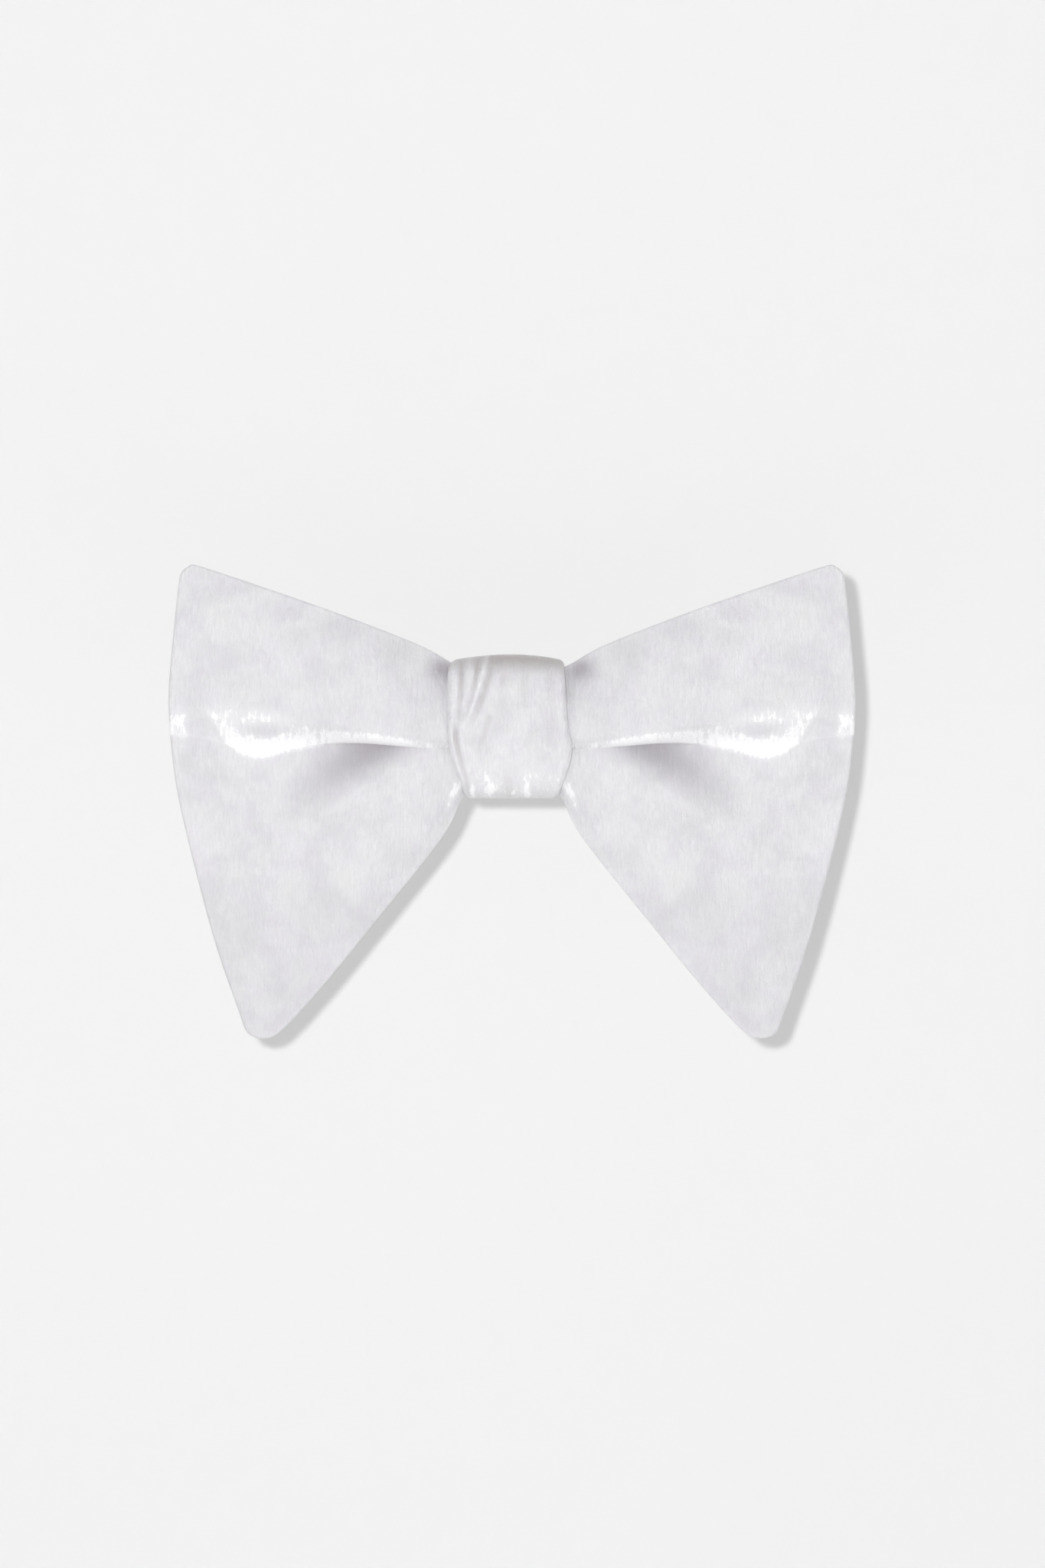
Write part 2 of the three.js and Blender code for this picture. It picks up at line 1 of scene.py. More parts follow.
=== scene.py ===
# %% [markdown]
# # A velvet bow tie, piece by piece
# This lesson dresses a packed mechanical model of a bow tie in cloth, ribbon and metal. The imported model
# already knows where every piece sits and which body it moves with, so each cell below makes one piece or
# one finish and hands it to the body that carries it. Lengths are in metres, and most sizes are written in
# millimetres times MM.

import json
import math

import bmesh
import bpy
import numpy as np
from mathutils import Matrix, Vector


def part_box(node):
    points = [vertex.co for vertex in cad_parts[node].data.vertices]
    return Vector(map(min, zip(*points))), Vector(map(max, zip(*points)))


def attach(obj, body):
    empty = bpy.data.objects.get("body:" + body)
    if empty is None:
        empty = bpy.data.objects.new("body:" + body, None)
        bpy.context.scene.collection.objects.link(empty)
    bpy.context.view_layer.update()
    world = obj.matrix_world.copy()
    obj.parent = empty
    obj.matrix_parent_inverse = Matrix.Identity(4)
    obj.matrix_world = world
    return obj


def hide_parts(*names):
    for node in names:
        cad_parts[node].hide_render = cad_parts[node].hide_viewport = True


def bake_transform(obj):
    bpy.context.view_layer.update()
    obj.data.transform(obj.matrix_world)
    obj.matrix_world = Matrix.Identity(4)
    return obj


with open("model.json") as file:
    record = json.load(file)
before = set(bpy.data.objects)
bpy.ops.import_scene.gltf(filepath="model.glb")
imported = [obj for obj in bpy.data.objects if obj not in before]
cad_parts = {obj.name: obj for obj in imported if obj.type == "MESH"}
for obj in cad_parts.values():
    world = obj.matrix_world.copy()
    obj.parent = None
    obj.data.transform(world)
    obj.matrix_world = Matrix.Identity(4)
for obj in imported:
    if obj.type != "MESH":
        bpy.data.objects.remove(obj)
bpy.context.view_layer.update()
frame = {"record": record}
MM = 0.001
PER_METRE = 1000.0      # millimetres

# %% [markdown]
# The tie is drawn from a few places that the frame gives: the back plane of the bow, the knot's box, the
# circle that the strap follows, and the bars that the strap turns round. Reading them from the boxes and
# the joints keeps the ribbon on the metal if the strap behind it is changed. The wings and the creases of
# the knot are cut from patterns in millimetres, which would have to be changed by hand.

# %% Places on the frame
joint_at = {j["name"]: Vector(j["pos_m"]) for j in frame["record"]["behaviour"]["joints"]}
knot_low, knot_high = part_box("knot_wrap")
strap_low, strap_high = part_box("strap_left")
STRAP_THICK = 1.0 * MM
STRAP_HALF = strap_high[2]
STRAP_R = -strap_low[0] - STRAP_THICK / 2
BOW_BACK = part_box("bow_lining")[1][1]
print(f"strap circle {STRAP_R / MM:.2f} mm, bow's back at y {BOW_BACK / MM:.2f} mm")

# %% [markdown]
# The camera comes first because everything is judged through it. The tie is seen square from the front
# through a long lens, which keeps the wings from swelling towards the viewer.

# %% Camera
SENSOR_WIDTH, LENS = 36, 168        # millimetres, as every camera writes them
CAMERA_AT = (2.3 * MM, -1.675, -12.6 * MM)
camera_data = bpy.data.cameras.new("camera")
camera_data.sensor_width = SENSOR_WIDTH
camera_data.lens = LENS
camera = bpy.data.objects.new("camera", camera_data)
bpy.context.collection.objects.link(camera)
camera.location = CAMERA_AT
camera.rotation_euler = (math.pi / 2, 0, 0)
bpy.context.scene.camera = camera
bpy.context.scene.view_settings.view_transform = "Standard"
print("lens", camera_data.lens, "mm")

# %% [markdown]
# Node trees are long to write by hand, so small helpers do the wiring: they make a node and fill its
# sockets, do sums, map and mix, start a material, and make a shader node group with named inputs and
# outputs. A group is built once and then placed in each finish with its own values.

# %% Helpers for node trees
def place(tree, kind, links=None, **values):
    """Adds a node.

    Names in values are attributes or input sockets, and links maps input names to output sockets.
    """
    node = tree.nodes.new(kind)
    for name, value in values.items():
        name = name.replace("_", " ") if not hasattr(node, name) else name
        if hasattr(node, name):
            setattr(node, name, value)
        else:
            node.inputs[name].default_value = value
    for name, source in (links or {}).items():
        tree.links.new(source, node.inputs[name])
    return node


def math_node(tree, operation, a, b=None, clamp=False):
    node = place(tree, "ShaderNodeMath", operation=operation, use_clamp=clamp)
    for slot, value in enumerate((a, b)):
        if isinstance(value, (int, float)):
            node.inputs[slot].default_value = value
        elif value is not None:
            tree.links.new(value, node.inputs[slot])
    return node.outputs[0]


def spread(tree, value, low, high, to_low=0.0, to_high=1.0):
    """Maps a value smoothly from one range to another."""
    node = place(tree, "ShaderNodeMapRange", interpolation_type="SMOOTHSTEP")
    tree.links.new(value, node.inputs["Value"])
    for slot, number in zip(("From Min", "From Max", "To Min", "To Max"), (low, high, to_low, to_high)):
        node.inputs[slot].default_value = number
    return node.outputs["Result"]


def mix_colour(tree, share, a, b, blend="MIX"):
    node = place(tree, "ShaderNodeMix", data_type="RGBA", blend_type=blend)
    for slot, value in ((0, share), (6, a), (7, b)):
        if isinstance(value, (int, float)):
            node.inputs[slot].default_value = value
        elif isinstance(value, tuple):
            node.inputs[slot].default_value = (*value, 1)
        else:
            tree.links.new(value, node.inputs[slot])
    return node.outputs[2]


def new_group(name, inputs, outputs):
    """A shader node group: inputs and outputs map socket names to a default number, or to a socket type."""
    group = bpy.data.node_groups.new(name, "ShaderNodeTree")
    for label, default in inputs.items():
        kind = "NodeSocketVector" if default is None else "NodeSocketFloat"
        socket = group.interface.new_socket(label, in_out="INPUT", socket_type=kind)
        if default is not None:
            socket.default_value = default
    for label, kind in outputs.items():
        group.interface.new_socket(label, in_out="OUTPUT", socket_type=kind)
    return group, place(group, "NodeGroupInput").outputs, place(group, "NodeGroupOutput").inputs


def use_group(tree, group, vector, **values):
    node = place(tree, "ShaderNodeGroup", node_tree=group)
    tree.links.new(vector, node.inputs["Vector"])
    for label, number in values.items():
        node.inputs[label.replace("_", " ")].default_value = number
    return node.outputs


def new_material(name):
    """An empty material with a Principled shader, and its tree and shader."""
    material = bpy.data.materials.new(name)
    material.use_nodes = True
    tree = material.node_tree
    return material, tree, tree.nodes["Principled BSDF"]


def fixed(shader, **values):
    """Sets what is the same all over the surface on the shader's own sockets."""
    for label, value in values.items():
        shader.inputs[label.replace("_", " ")].default_value = value


print("helpers ready")

# %% [markdown]
# Crushed velvet is a pile of short fibres pressed flat in patches that lean different ways. Two things
# show: cloudy patches a few millimetres across, and a fine nap of fibres that run down the cloth. This
# group makes both from noise, the nap by squeezing the noise so that it is long in one direction. Its
# height feeds a Bump node in each velvet.

# %% Group: crushed pile
pile_group, pile_in, pile_out = new_group(
    "crushed pile",
    {"Vector": None, "Patch Size": 6.0, "Nap Width": 0.4, "Nap Length": 3.0},
    {name: "NodeSocketFloat" for name in ("Patches", "Tint", "Nap", "Jag", "Height")},
)


def noise(tree, vector, scale, detail=2.0, rough=0.5, distortion=0.0):
    node = place(tree, "ShaderNodeTexNoise", Detail=detail, Roughness=rough, Distortion=distortion)
    tree.links.new(vector, node.inputs["Vector"])
    if isinstance(scale, (int, float)):
        node.inputs["Scale"].default_value = scale
    else:
        tree.links.new(scale, node.inputs["Scale"])
    return node.outputs["Fac"]


def squeezed(tree, vector, x, y, z):
    """The vector with each axis multiplied by a number or a socket."""
    factors = place(tree, "ShaderNodeCombineXYZ")
    for slot, value in enumerate((x, y, z)):
        if isinstance(value, (int, float)):
            factors.inputs[slot].default_value = value
        else:
            tree.links.new(value, factors.inputs[slot])
    product = place(tree, "ShaderNodeVectorMath", operation="MULTIPLY")
    tree.links.new(vector, product.inputs[0])
    tree.links.new(factors.outputs[0], product.inputs[1])
    return product.outputs[0]


def fill_pile_group():
    tree, vector = pile_group, pile_in["Vector"]
    per_patch = math_node(tree, "DIVIDE", PER_METRE, pile_in["Patch Size"])
    patches = noise(tree, vector, per_patch, detail=4.0, rough=0.62, distortion=0.35)
    patches = spread(tree, patches, 0.3, 0.7)
    tint = noise(tree, vector, math_node(tree, "MULTIPLY", per_patch, 0.8), detail=5.0, rough=0.75)
    tint = spread(tree, tint, 0.38, 0.62)
    fine = math_node(tree, "DIVIDE", PER_METRE, pile_in["Nap Width"])
    long = math_node(tree, "DIVIDE", PER_METRE, pile_in["Nap Length"])
    nap = noise(tree, squeezed(tree, vector, fine, long, 1.0), 1.0, detail=2.0, rough=0.6)
    tuft = math_node(tree, "MULTIPLY", fine, 0.42)
    jag = noise(tree, squeezed(tree, vector, tuft, long, 1.0), 1.0, detail=4.0, rough=0.7, distortion=0.3)
    jag = spread(tree, jag, 0.3, 0.7)
    low_part, high_part = math_node(tree, "MULTIPLY", nap, 0.45), math_node(tree, "MULTIPLY", jag, 0.9)
    height = math_node(tree, "ADD", low_part, high_part)
    made = {"Patches": patches, "Tint": tint, "Nap": nap, "Jag": jag, "Height": height}
    for label, value in made.items():
        tree.links.new(value, pile_out[label])


fill_pile_group()
print("crushed pile:", len(pile_group.nodes), "nodes")

# %% [markdown]
# Light and shade are painted into the velvet's colour. Each velvet piece carries two masks worked out from
# its pattern: a painted highlight along its folds and ridges, and painted shade in its hollows and creases.
# This group tears their borders along the fibres of the pile noise, so that the painted highlight has ragged
# edges.

# %% Group: painted highlight and shade
painted_light_group, painted_light_in, painted_light_out = new_group(
    "painted highlight and shade",
    {"Highlight Mask": 0.0, "Shade Mask": 0.0, "Jag": 0.5, "Patches": 0.5, "Ragged": 0.6},
    {"Painted Highlight": "NodeSocketFloat", "Painted Shade": "NodeSocketFloat"},
)


def fill_painted_light_group():
    tree = painted_light_group
    tear = math_node(tree, "MULTIPLY", math_node(tree, "SUBTRACT", painted_light_in["Jag"], 0.5), painted_light_in["Ragged"])
    drift = math_node(tree, "MULTIPLY", math_node(tree, "SUBTRACT", painted_light_in["Patches"], 0.5), 0.5)
    # Painted highlight: the highlight mask with torn, drifting borders.
    any_painted_highlight = spread(tree, painted_light_in["Highlight Mask"], 0.28, 0.4)
    painted_highlight = math_node(tree, "ADD", math_node(tree, "ADD", painted_light_in["Highlight Mask"], tear), drift)
    torn = math_node(tree, "MULTIPLY", spread(tree, painted_highlight, 0.4, 0.88), any_painted_highlight)
    painted_shine = math_node(tree, "MAXIMUM", torn, math_node(tree, "MULTIPLY", painted_light_in["Highlight Mask"], 0.55))
    # Painted shade: the shade mask, torn by the same noise.
    painted_shade = math_node(tree, "ADD", painted_light_in["Shade Mask"], math_node(tree, "MULTIPLY", tear, 0.18))
    some_painted_shade = spread(tree, painted_light_in["Shade Mask"], 0.0, 0.15)
    painted_shade_amount = math_node(tree, "MULTIPLY", painted_shade, some_painted_shade, clamp=True)
    tree.links.new(painted_shine, painted_light_out["Painted Highlight"])
    tree.links.new(painted_shade_amount, painted_light_out["Painted Shade"])


fill_painted_light_group()
print("painted highlight and shade:", len(painted_light_group.nodes), "nodes")

# %% [markdown]
# Satin, lining and canvas are woven. One group draws all three: warp threads one way, weft threads the
# other, at any width, and it also returns a slow unevenness that real yarn has. The coordinates come from a
# flat map that every strip of cloth here carries, turned into millimetres, so that the threads follow the
# cloth round its turns.

# %% Group: weave
weave_group, weave_in, weave_out = new_group(
    "weave",
    {"Vector": None, "Warp Width": 0.2, "Weft Width": 0.2, "Weft Share": 0.5, "Slub": 0.2},
    {"Threads": "NodeSocketFloat", "Slubs": "NodeSocketFloat", "Height": "NodeSocketFloat"},
)


def fill_weave_group():
    tree = weave_group
    parts = place(tree, "ShaderNodeSeparateXYZ", {"Vector": weave_in["Vector"]})

    def ridges(coordinate, width):
        turns = math_node(tree, "MULTIPLY", math_node(tree, "DIVIDE", coordinate, width), math.pi)
        return math_node(tree, "ABSOLUTE", math_node(tree, "SINE", turns))

    warp = ridges(parts.outputs["Y"], weave_in["Warp Width"])
    weft = ridges(parts.outputs["X"], weave_in["Weft Width"])
    slubs = noise(tree, squeezed(tree, weave_in["Vector"], 0.35, 3.0, 1.0), 1.0, detail=3.0, rough=0.6)
    kept = math_node(tree, "SUBTRACT", 1.0, weave_in["Weft Share"])
    threads = math_node(
        tree, "ADD",
        math_node(tree, "MULTIPLY", warp, kept),
        math_node(tree, "MULTIPLY", weft, weave_in["Weft Share"]),
    )
    height = math_node(tree, "ADD", threads, math_node(tree, "MULTIPLY", slubs, weave_in["Slub"]))
    for label, value in (("Threads", threads), ("Slubs", slubs), ("Height", height)):
        tree.links.new(value, weave_out[label])


fill_weave_group()
print("weave:", len(weave_group.nodes), "nodes")

# %% [markdown]
# The velvet itself. Its colour is a cool near-white that drifts between two close tones from patch to
# patch, is mixed towards a darker tone where shade is painted, and towards near-white where a highlight is
# painted. Sheen adds the soft light that short fibres catch. The sheen's strength is one number for the
# whole cloth, so it is typed on the shader's own socket.

# %% Finish: crushed velvet
def flat_vector(tree):
    """The cloth's flat map as a vector in metres."""
    return place(tree, "ShaderNodeUVMap", uv_map="flat").outputs["UV"]


def mask(tree, name):
    """A mask that the mesh carries, point by point."""
    return place(tree, "ShaderNodeAttribute", attribute_name=name).outputs["Fac"]


def make_velvet(name, patch_size, ragged, bump, painted_shade_tone):
    material, tree, shader = new_material(name)
    pile = use_group(tree, pile_group, flat_vector(tree), Patch_Size=patch_size)
    painted_light = place(tree, "ShaderNodeGroup", node_tree=painted_light_group)
    sources = {"Highlight Mask": mask(tree, "painted_highlight"), "Shade Mask": mask(tree, "painted_shade"),
               "Jag": pile["Jag"], "Patches": pile["Patches"]}
    for label, source in sources.items():
        tree.links.new(source, painted_light.inputs[label])
    painted_light.inputs["Ragged"].default_value = ragged
    tone = mix_colour(tree, pile["Patches"], (0.690, 0.682, 0.712), (0.762, 0.758, 0.776))
    tint = mix_colour(tree, pile["Tint"], (1.0, 0.990, 1.003), (0.994, 0.998, 0.988))
    tone = mix_colour(tree, 1.0, tone, tint, "MULTIPLY")
    nap_shade = spread(tree, pile["Nap"], 0.25, 0.75, 0.97, 1.03)
    mottle = spread(tree, pile["Jag"], 0.0, 1.0, 0.985, 1.012)
    nap_shade = math_node(tree, "MULTIPLY", nap_shade, mottle)
    grey = place(tree, "ShaderNodeCombineColor", {"Red": nap_shade, "Green": nap_shade, "Blue": nap_shade})
    tone = mix_colour(tree, 1.0, tone, grey.outputs[0], "MULTIPLY")
    # Painted shade: towards the darker tone where the shade mask is.
    tone = mix_colour(tree, painted_light.outputs["Painted Shade"], tone, painted_shade_tone)
    # Painted highlight: towards near-white where the highlight mask is.
    tone = mix_colour(tree, painted_light.outputs["Painted Highlight"], tone, (0.97, 0.965, 0.98))
    tree.links.new(tone, shader.inputs["Base Color"])
    rough = spread(tree, pile["Patches"], 0.0, 1.0, 0.62, 0.5)
    rough = math_node(tree, "SUBTRACT", rough, math_node(tree, "MULTIPLY", painted_light.outputs["Painted Highlight"], 0.18))
    tree.links.new(rough, shader.inputs["Roughness"])
    relief = place(tree, "ShaderNodeBump", {"Height": pile["Height"]}, Strength=bump, Distance=0.35 * MM)
    tree.links.new(relief.outputs["Normal"], shader.inputs["Normal"])
    fixed(shader, Sheen_Weight=0.35, Sheen_Roughness=0.4, Specular_IOR_Level=0.35)
    return material


# The last colour given to each is its painted shade tone.
wing_velvet = make_velvet("velvet_wings", 9.0, 0.75, 0.45, (0.47, 0.45, 0.485))
knot_velvet = make_velvet("velvet_knot", 5.0, 0.5, 0.45, (0.485, 0.455, 0.45))
print("velvet:", wing_velvet.name, knot_velvet.name)

# %% [markdown]
# The strap is a ribbed satin ribbon: thick weft threads lie under a shiny warp, so fine ribs cross it and
# catch the light one by one. The lining is a smoother satin in a lighter weight, and the canvas is a plain
# open weave of coarse yarn. All three differ only in the numbers given to the weave group and to the
# shader.

# %% Finishes: ribbon satin, lining satin, canvas
def make_woven(name, tones, warp, weft, share, slub, rough, bump, **shader_values):
    material, tree, shader = new_material(name)
    flat = squeezed(tree, flat_vector(tree), PER_METRE, PER_METRE, PER_METRE)
    weave = use_group(tree, weave_group, flat, Warp_Width=warp, Weft_Width=weft, Weft_Share=share, Slub=slub)
    tone = mix_colour(tree, weave["Threads"], tones[0], tones[1])
    tone = mix_colour(tree, spread(tree, weave["Slubs"], 0.35, 0.7, 0.0, 0.35), tone, tones[2])
    tree.links.new(tone, shader.inputs["Base Color"])
    tree.links.new(spread(tree, weave["Slubs"], 0.3, 0.7, *rough), shader.inputs["Roughness"])
    relief = place(tree, "ShaderNodeBump", {"Height": weave["Height"]}, Strength=bump, Distance=0.08 * MM)
    tree.links.new(relief.outputs["Normal"], shader.inputs["Normal"])
    fixed(shader, **shader_values)
    return material


ribbon_satin = make_woven(
    "satin_ribbon", ((0.60, 0.59, 0.585), (0.80, 0.79, 0.785), (0.88, 0.87, 0.865)),
    0.3, 0.85, 0.72, 0.5, (0.3, 0.44), 0.75, Sheen_Weight=0.15, Specular_IOR_Level=0.5,
)
lining_satin = make_woven(
    "satin_lining", ((0.64, 0.63, 0.62), (0.78, 0.77, 0.755), (0.87, 0.86, 0.85)),
    0.36, 0.22, 0.35, 1.6, (0.3, 0.46), 0.45, Sheen_Weight=0.1, Specular_IOR_Level=0.5,
)
stiff_canvas = make_woven(
    "canvas", ((0.50, 0.46, 0.38), (0.78, 0.74, 0.65), (0.84, 0.80, 0.72)),
    0.7, 0.7, 0.5, 0.6, (0.8, 0.95), 1.0, Specular_IOR_Level=0.2,
)
print("woven finishes: ribbon, lining, canvas")

# %% [markdown]
# The clasp and the slide are stamped from sheet steel, bent, and plated with nickel. Plate takes the polish
# of the steel under it, so it shows long fine lines from the sheet, and its corners rub brighter and
# smoother than its flats. Pointiness finds those corners.

# %% Finish: nickel plate, and sewing thread
def make_nickel():
    material, tree, shader = new_material("nickel_plate")
    position = place(tree, "ShaderNodeTexCoord").outputs["Object"]
    lines = noise(tree, squeezed(tree, position, 900.0, 900.0, 9000.0), 1.0, 3.0, 0.6)
    blotches = noise(tree, position, 320.0, 3.0, 0.6)
    corner = spread(tree, place(tree, "ShaderNodeNewGeometry").outputs["Pointiness"], 0.5, 0.6)
    tone = mix_colour(tree, spread(tree, blotches, 0.3, 0.7), (0.66, 0.66, 0.67), (0.76, 0.755, 0.745))
    tone = mix_colour(tree, corner, tone, (0.88, 0.88, 0.87))
    tree.links.new(tone, shader.inputs["Base Color"])
    brushed = spread(tree, lines, 0.3, 0.7, 0.1, 0.2)
    hazy = spread(tree, blotches, 0.45, 0.8, 0.0, 0.12)
    tree.links.new(math_node(tree, "ADD", brushed, hazy), shader.inputs["Roughness"])
    relief = place(tree, "ShaderNodeBump", {"Height": lines}, Strength=0.08, Distance=0.02 * MM)
    tree.links.new(relief.outputs["Normal"], shader.inputs["Normal"])
    fixed(shader, Metallic=1.0)
    return material


def make_thread():
    material, tree, shader = new_material("sewing_thread")
    position = place(tree, "ShaderNodeTexCoord").outputs["Object"]
    ply = place(tree, "ShaderNodeTexWave", bands_direction="DIAGONAL", Scale=900.0, Distortion=1.5)
    tree.links.new(position, ply.inputs["Vector"])
    tone = mix_colour(tree, ply.outputs["Fac"], (0.62, 0.61, 0.60), (0.90, 0.89, 0.87))
    tree.links.new(tone, shader.inputs["Base Color"])
    tree.links.new(spread(tree, ply.outputs["Fac"], 0, 1, 0.7, 0.45), shader.inputs["Roughness"])
    relief = place(tree, "ShaderNodeBump", {"Height": ply.outputs["Fac"]}, Strength=0.6, Distance=0.06 * MM)
    tree.links.new(relief.outputs["Normal"], shader.inputs["Normal"])
    fixed(shader, Sheen_Weight=0.2)
    return material


nickel, thread = make_nickel(), make_thread()
print("metal and thread ready")

# %% [markdown]
# Cloth is made here from grids of points. A grid knows which way is along and which is across, so it can
# carry the flat map that the weave and the pile are drawn on, and it can be turned over at its edges like a
# hem. These helpers turn a smooth line through a few points into as many points as needed, and turn a grid
# into a mesh.

# %% Helpers for lines and grids
def smooth_line(points, steps=24):
    """A Catmull-Rom line through the points."""
    p = np.array(points, float)
    p = np.vstack([2 * p[0] - p[1], p, 2 * p[-1] - p[-2]])
    t = np.linspace(0, 1, steps, endpoint=False)[:, None]
    runs = [
        0.5 * (2 * b + (c - a) * t + (2 * a - 5 * b + 4 * c - d) * t ** 2 + (3 * b - a - 3 * c + d) * t ** 3)
        for a, b, c, d in zip(p, p[1:], p[2:], p[3:])
    ]
    return np.vstack([*runs, p[-2:-1]])


def lengths(line):
    return np.concatenate([[0], np.cumsum(np.linalg.norm(np.diff(line, axis=0), axis=1))])


def at_shares(line, shares):
    """Points of a line at shares of its length."""
    run = lengths(line)
    return np.stack([np.interp(shares * run[-1], run, line[:, k]) for k in range(line.shape[1])], axis=1)


def bell(value, centre, width):
    """1 at the centre, falling smoothly to nothing on both sides."""
    return np.exp(-((value - centre) / width) ** 2)


def by_station(stations, values, softness=2.5):
    """A value given at stations along the wing, in millimetres, rounded off between them."""
    step, reach = 0.25, 12
    fine = np.arange(-20, 100, step)
    rough = np.interp(fine, stations, values)
    weights = bell(np.arange(-reach, reach + step, step), 0, softness)
    table = np.convolve(rough, weights / weights.sum(), mode="same")
    return lambda x: np.interp(x, fine, table)


def ease(t):
    """Rises smoothly from 0 to 1 while t does."""
    t = np.clip(t, 0, 1)
    return t * t * (3 - 2 * t)


def grid_faces(index):
    """The four corners of every face of a grid of point numbers."""
    return np.stack([index[:-1, :-1], index[:-1, 1:], index[1:, 1:], index[1:, :-1]], axis=-1).reshape(-1, 4)


def grid_object(name, grid, flat, material, closed_rows=False, tidy=0.0, masks=None):
    """A mesh from a grid of points, rows by columns by x, y, z, with its flat map in metres and its masks."""
    rows, columns = grid.shape[:2]
    index = np.arange(rows * columns).reshape(rows, columns)
    if closed_rows:
        index = np.vstack([index, index[:1]])
        flat = np.concatenate([flat, 2 * flat[-1:] - flat[-2:-1]])
    own = np.arange(flat.shape[0] * columns).reshape(flat.shape[0], columns)
    mesh = bpy.data.meshes.new(name)
    mesh.from_pydata(grid.reshape(-1, 3).tolist(), [], grid_faces(index).tolist())
    layer = mesh.uv_layers.new(name="flat")
    layer.data.foreach_set("uv", flat.reshape(-1, 2)[grid_faces(own).ravel()].astype(np.float32).ravel())
    for label, values in (masks or {}).items():
        attribute = mesh.attributes.new(label, "FLOAT", "POINT")
        attribute.data.foreach_set("value", values.astype(np.float32).ravel())
    return finished(name, mesh, material, tidy)


def finished(name, mesh, material, tidy=0.0):
    """Cleans a mesh, shades it smooth, gives it its material and puts it in the scene."""
    work = bmesh.new()
    work.from_mesh(mesh)
    if tidy:
        bmesh.ops.remove_doubles(work, verts=work.verts, dist=tidy)
    bmesh.ops.recalc_face_normals(work, faces=work.faces)
    work.to_mesh(mesh)
    work.free()
    for face in mesh.polygons:
        face.use_smooth = True
    mesh.materials.append(material)
    piece = bpy.data.objects.new(name, mesh)
    bpy.context.collection.objects.link(piece)
    return piece


print("cloth helpers ready")

# %% [markdown]
# The paper pattern of one wing, in millimetres from the knot's middle: its top edge, its lower edge, its
# outer edge and the crease that the knot pinches into it. The other wing is its mirror image. The two
# halves above and below the crease are Coons patches: grids stretched between four edges.

# %% Pattern of the wing
TOP_EDGE = [(0, 11), (8, 11.8), (13, 13.8), (20, 17.7), (36, 24), (53, 30), (68, 35), (70.5, 35.4)]
LOWER_EDGE = [(0, -11), (7, -12), (11, -16), (15.5, -24.5), (31, -44), (42.5, -58), (51, -67), (55, -68.5)]
OUTER_LOW = [(55, -68.5), (58, -67), (60, -62), (65, -47.5), (70, -29), (73.5, -13.5), (75, -1.5)]
OUTER_TOP = [(75, -1.5), (75.2, 8), (74, 22), (73, 31.5), (72.3, 34), (70.5, 35.4)]
CREASE = [(0, -2.5), (8, -4.2), (16, -5), (34, -3.7), (46, -4.3), (56, -5.8), (65, -3), (75, -1.5)]
crease_line = smooth_line(CREASE)
crease_height = by_station(crease_line[:, 0], crease_line[:, 1], 1.2)


def coons(bottom, top, inner, outer, across, up):
    """Points between four edges, rows running up and columns across."""
    b, t = at_shares(bottom, across), at_shares(top, across)
    left, right = at_shares(inner, up), at_shares(outer, up)
    u, v = across[None, :, None], up[:, None, None]
    sides = (1 - u) * left[:, None] + u * right[:, None]
    corners = (1 - v) * ((1 - u) * b[0] + u * b[-1]) + v * ((1 - u) * t[0] + u * t[-1])
    return (1 - v) * b[None] + v * t[None] + sides - corners


COLUMNS, ROWS_LOW, ROWS_TOP = 120, 76, 60
across = np.linspace(0, 1, COLUMNS) * 0.75 + 0.25 * ease(np.linspace(0, 1, COLUMNS))
dense_ends = lambda n: 0.5 - 0.5 * np.cos(np.pi * np.linspace(0, 1, n))
waist_low, waist_top = np.array([LOWER_EDGE[0], CREASE[0]]), np.array([CREASE[0], TOP_EDGE[0]])
low_flat = coons(smooth_line(LOWER_EDGE), crease_line, waist_low, smooth_line(OUTER_LOW),
                 across, dense_ends(ROWS_LOW))
top_flat = coons(crease_line, smooth_line(TOP_EDGE), waist_top, smooth_line(OUTER_TOP),
                 across, dense_ends(ROWS_TOP))
print("wing grid:", low_flat.shape, top_flat.shape)

# %% [markdown]
# How far the cloth stands forward is written down at stations along the wing, from the waist to the outer
# edge: the crest of the upper puff, how far the cloth drops below it, how far the fold hangs over its own
# crease, and where the lower puff swells out again. Near the knot the upper puff hangs over the lower one.
# Further out the fold opens into a soft step, which dies away towards the outer edge.

# %% Depth of the wing
STATIONS = [0, 8, 14, 20, 26, 32, 38, 45, 52, 60, 68, 75]
upper_crest = by_station(STATIONS, [7.6, 8.8, 10.2, 11.0, 11.3, 11.1, 10.5, 9.6, 8.9, 8.1, 7.2, 6.4])
drop = by_station(STATIONS, [1.2, 1.6, 2.4, 4.0, 6.0, 6.8, 6.2, 4.6, 3.3, 2.4, 1.6, 1.0])
roll_height = by_station(STATIONS, [2.0, 2.2, 2.6, 3.2, 3.6, 3.8, 4.2, 5.4, 7.6, 6.6, 4.8, 3.4])
pleated = by_station(STATIONS, [1, 1, 1, 1, 1, 1, 0.6, 0.05, 0, 0, 0, 0], 1.5)
overhang = by_station(STATIONS, [0.8, 0.9, 1.2, 2.0, 2.6, 2.4, 1.3, 0.0, 0, 0, 0, 0], 1.5)
lower_crest = by_station(STATIONS, [6.6, 8.0, 9.0, 9.4, 9.6, 9.5, 8.8, 7.6, 6.5, 6.0, 5.7, 5.5])
swell_below = by_station(STATIONS, [2, 2, 2, 3.2, 6.0, 9.5, 13.5, 16, 15, 14, 14, 14])
edge_depth = by_station(STATIONS, [4.4, 4.6, 5.0, 5.8, 6.6, 7.0, 7.2, 7.0, 6.6, 6.0, 5.4, 5.0])
EDGE_ROLL = 0.4


def rolled(distance, radius=EDGE_ROLL):
    """How far a rounded edge falls back at a distance from its rim."""
    inside = np.clip(radius - distance, 0, radius)
    return radius - np.sqrt(radius ** 2 - inside ** 2)


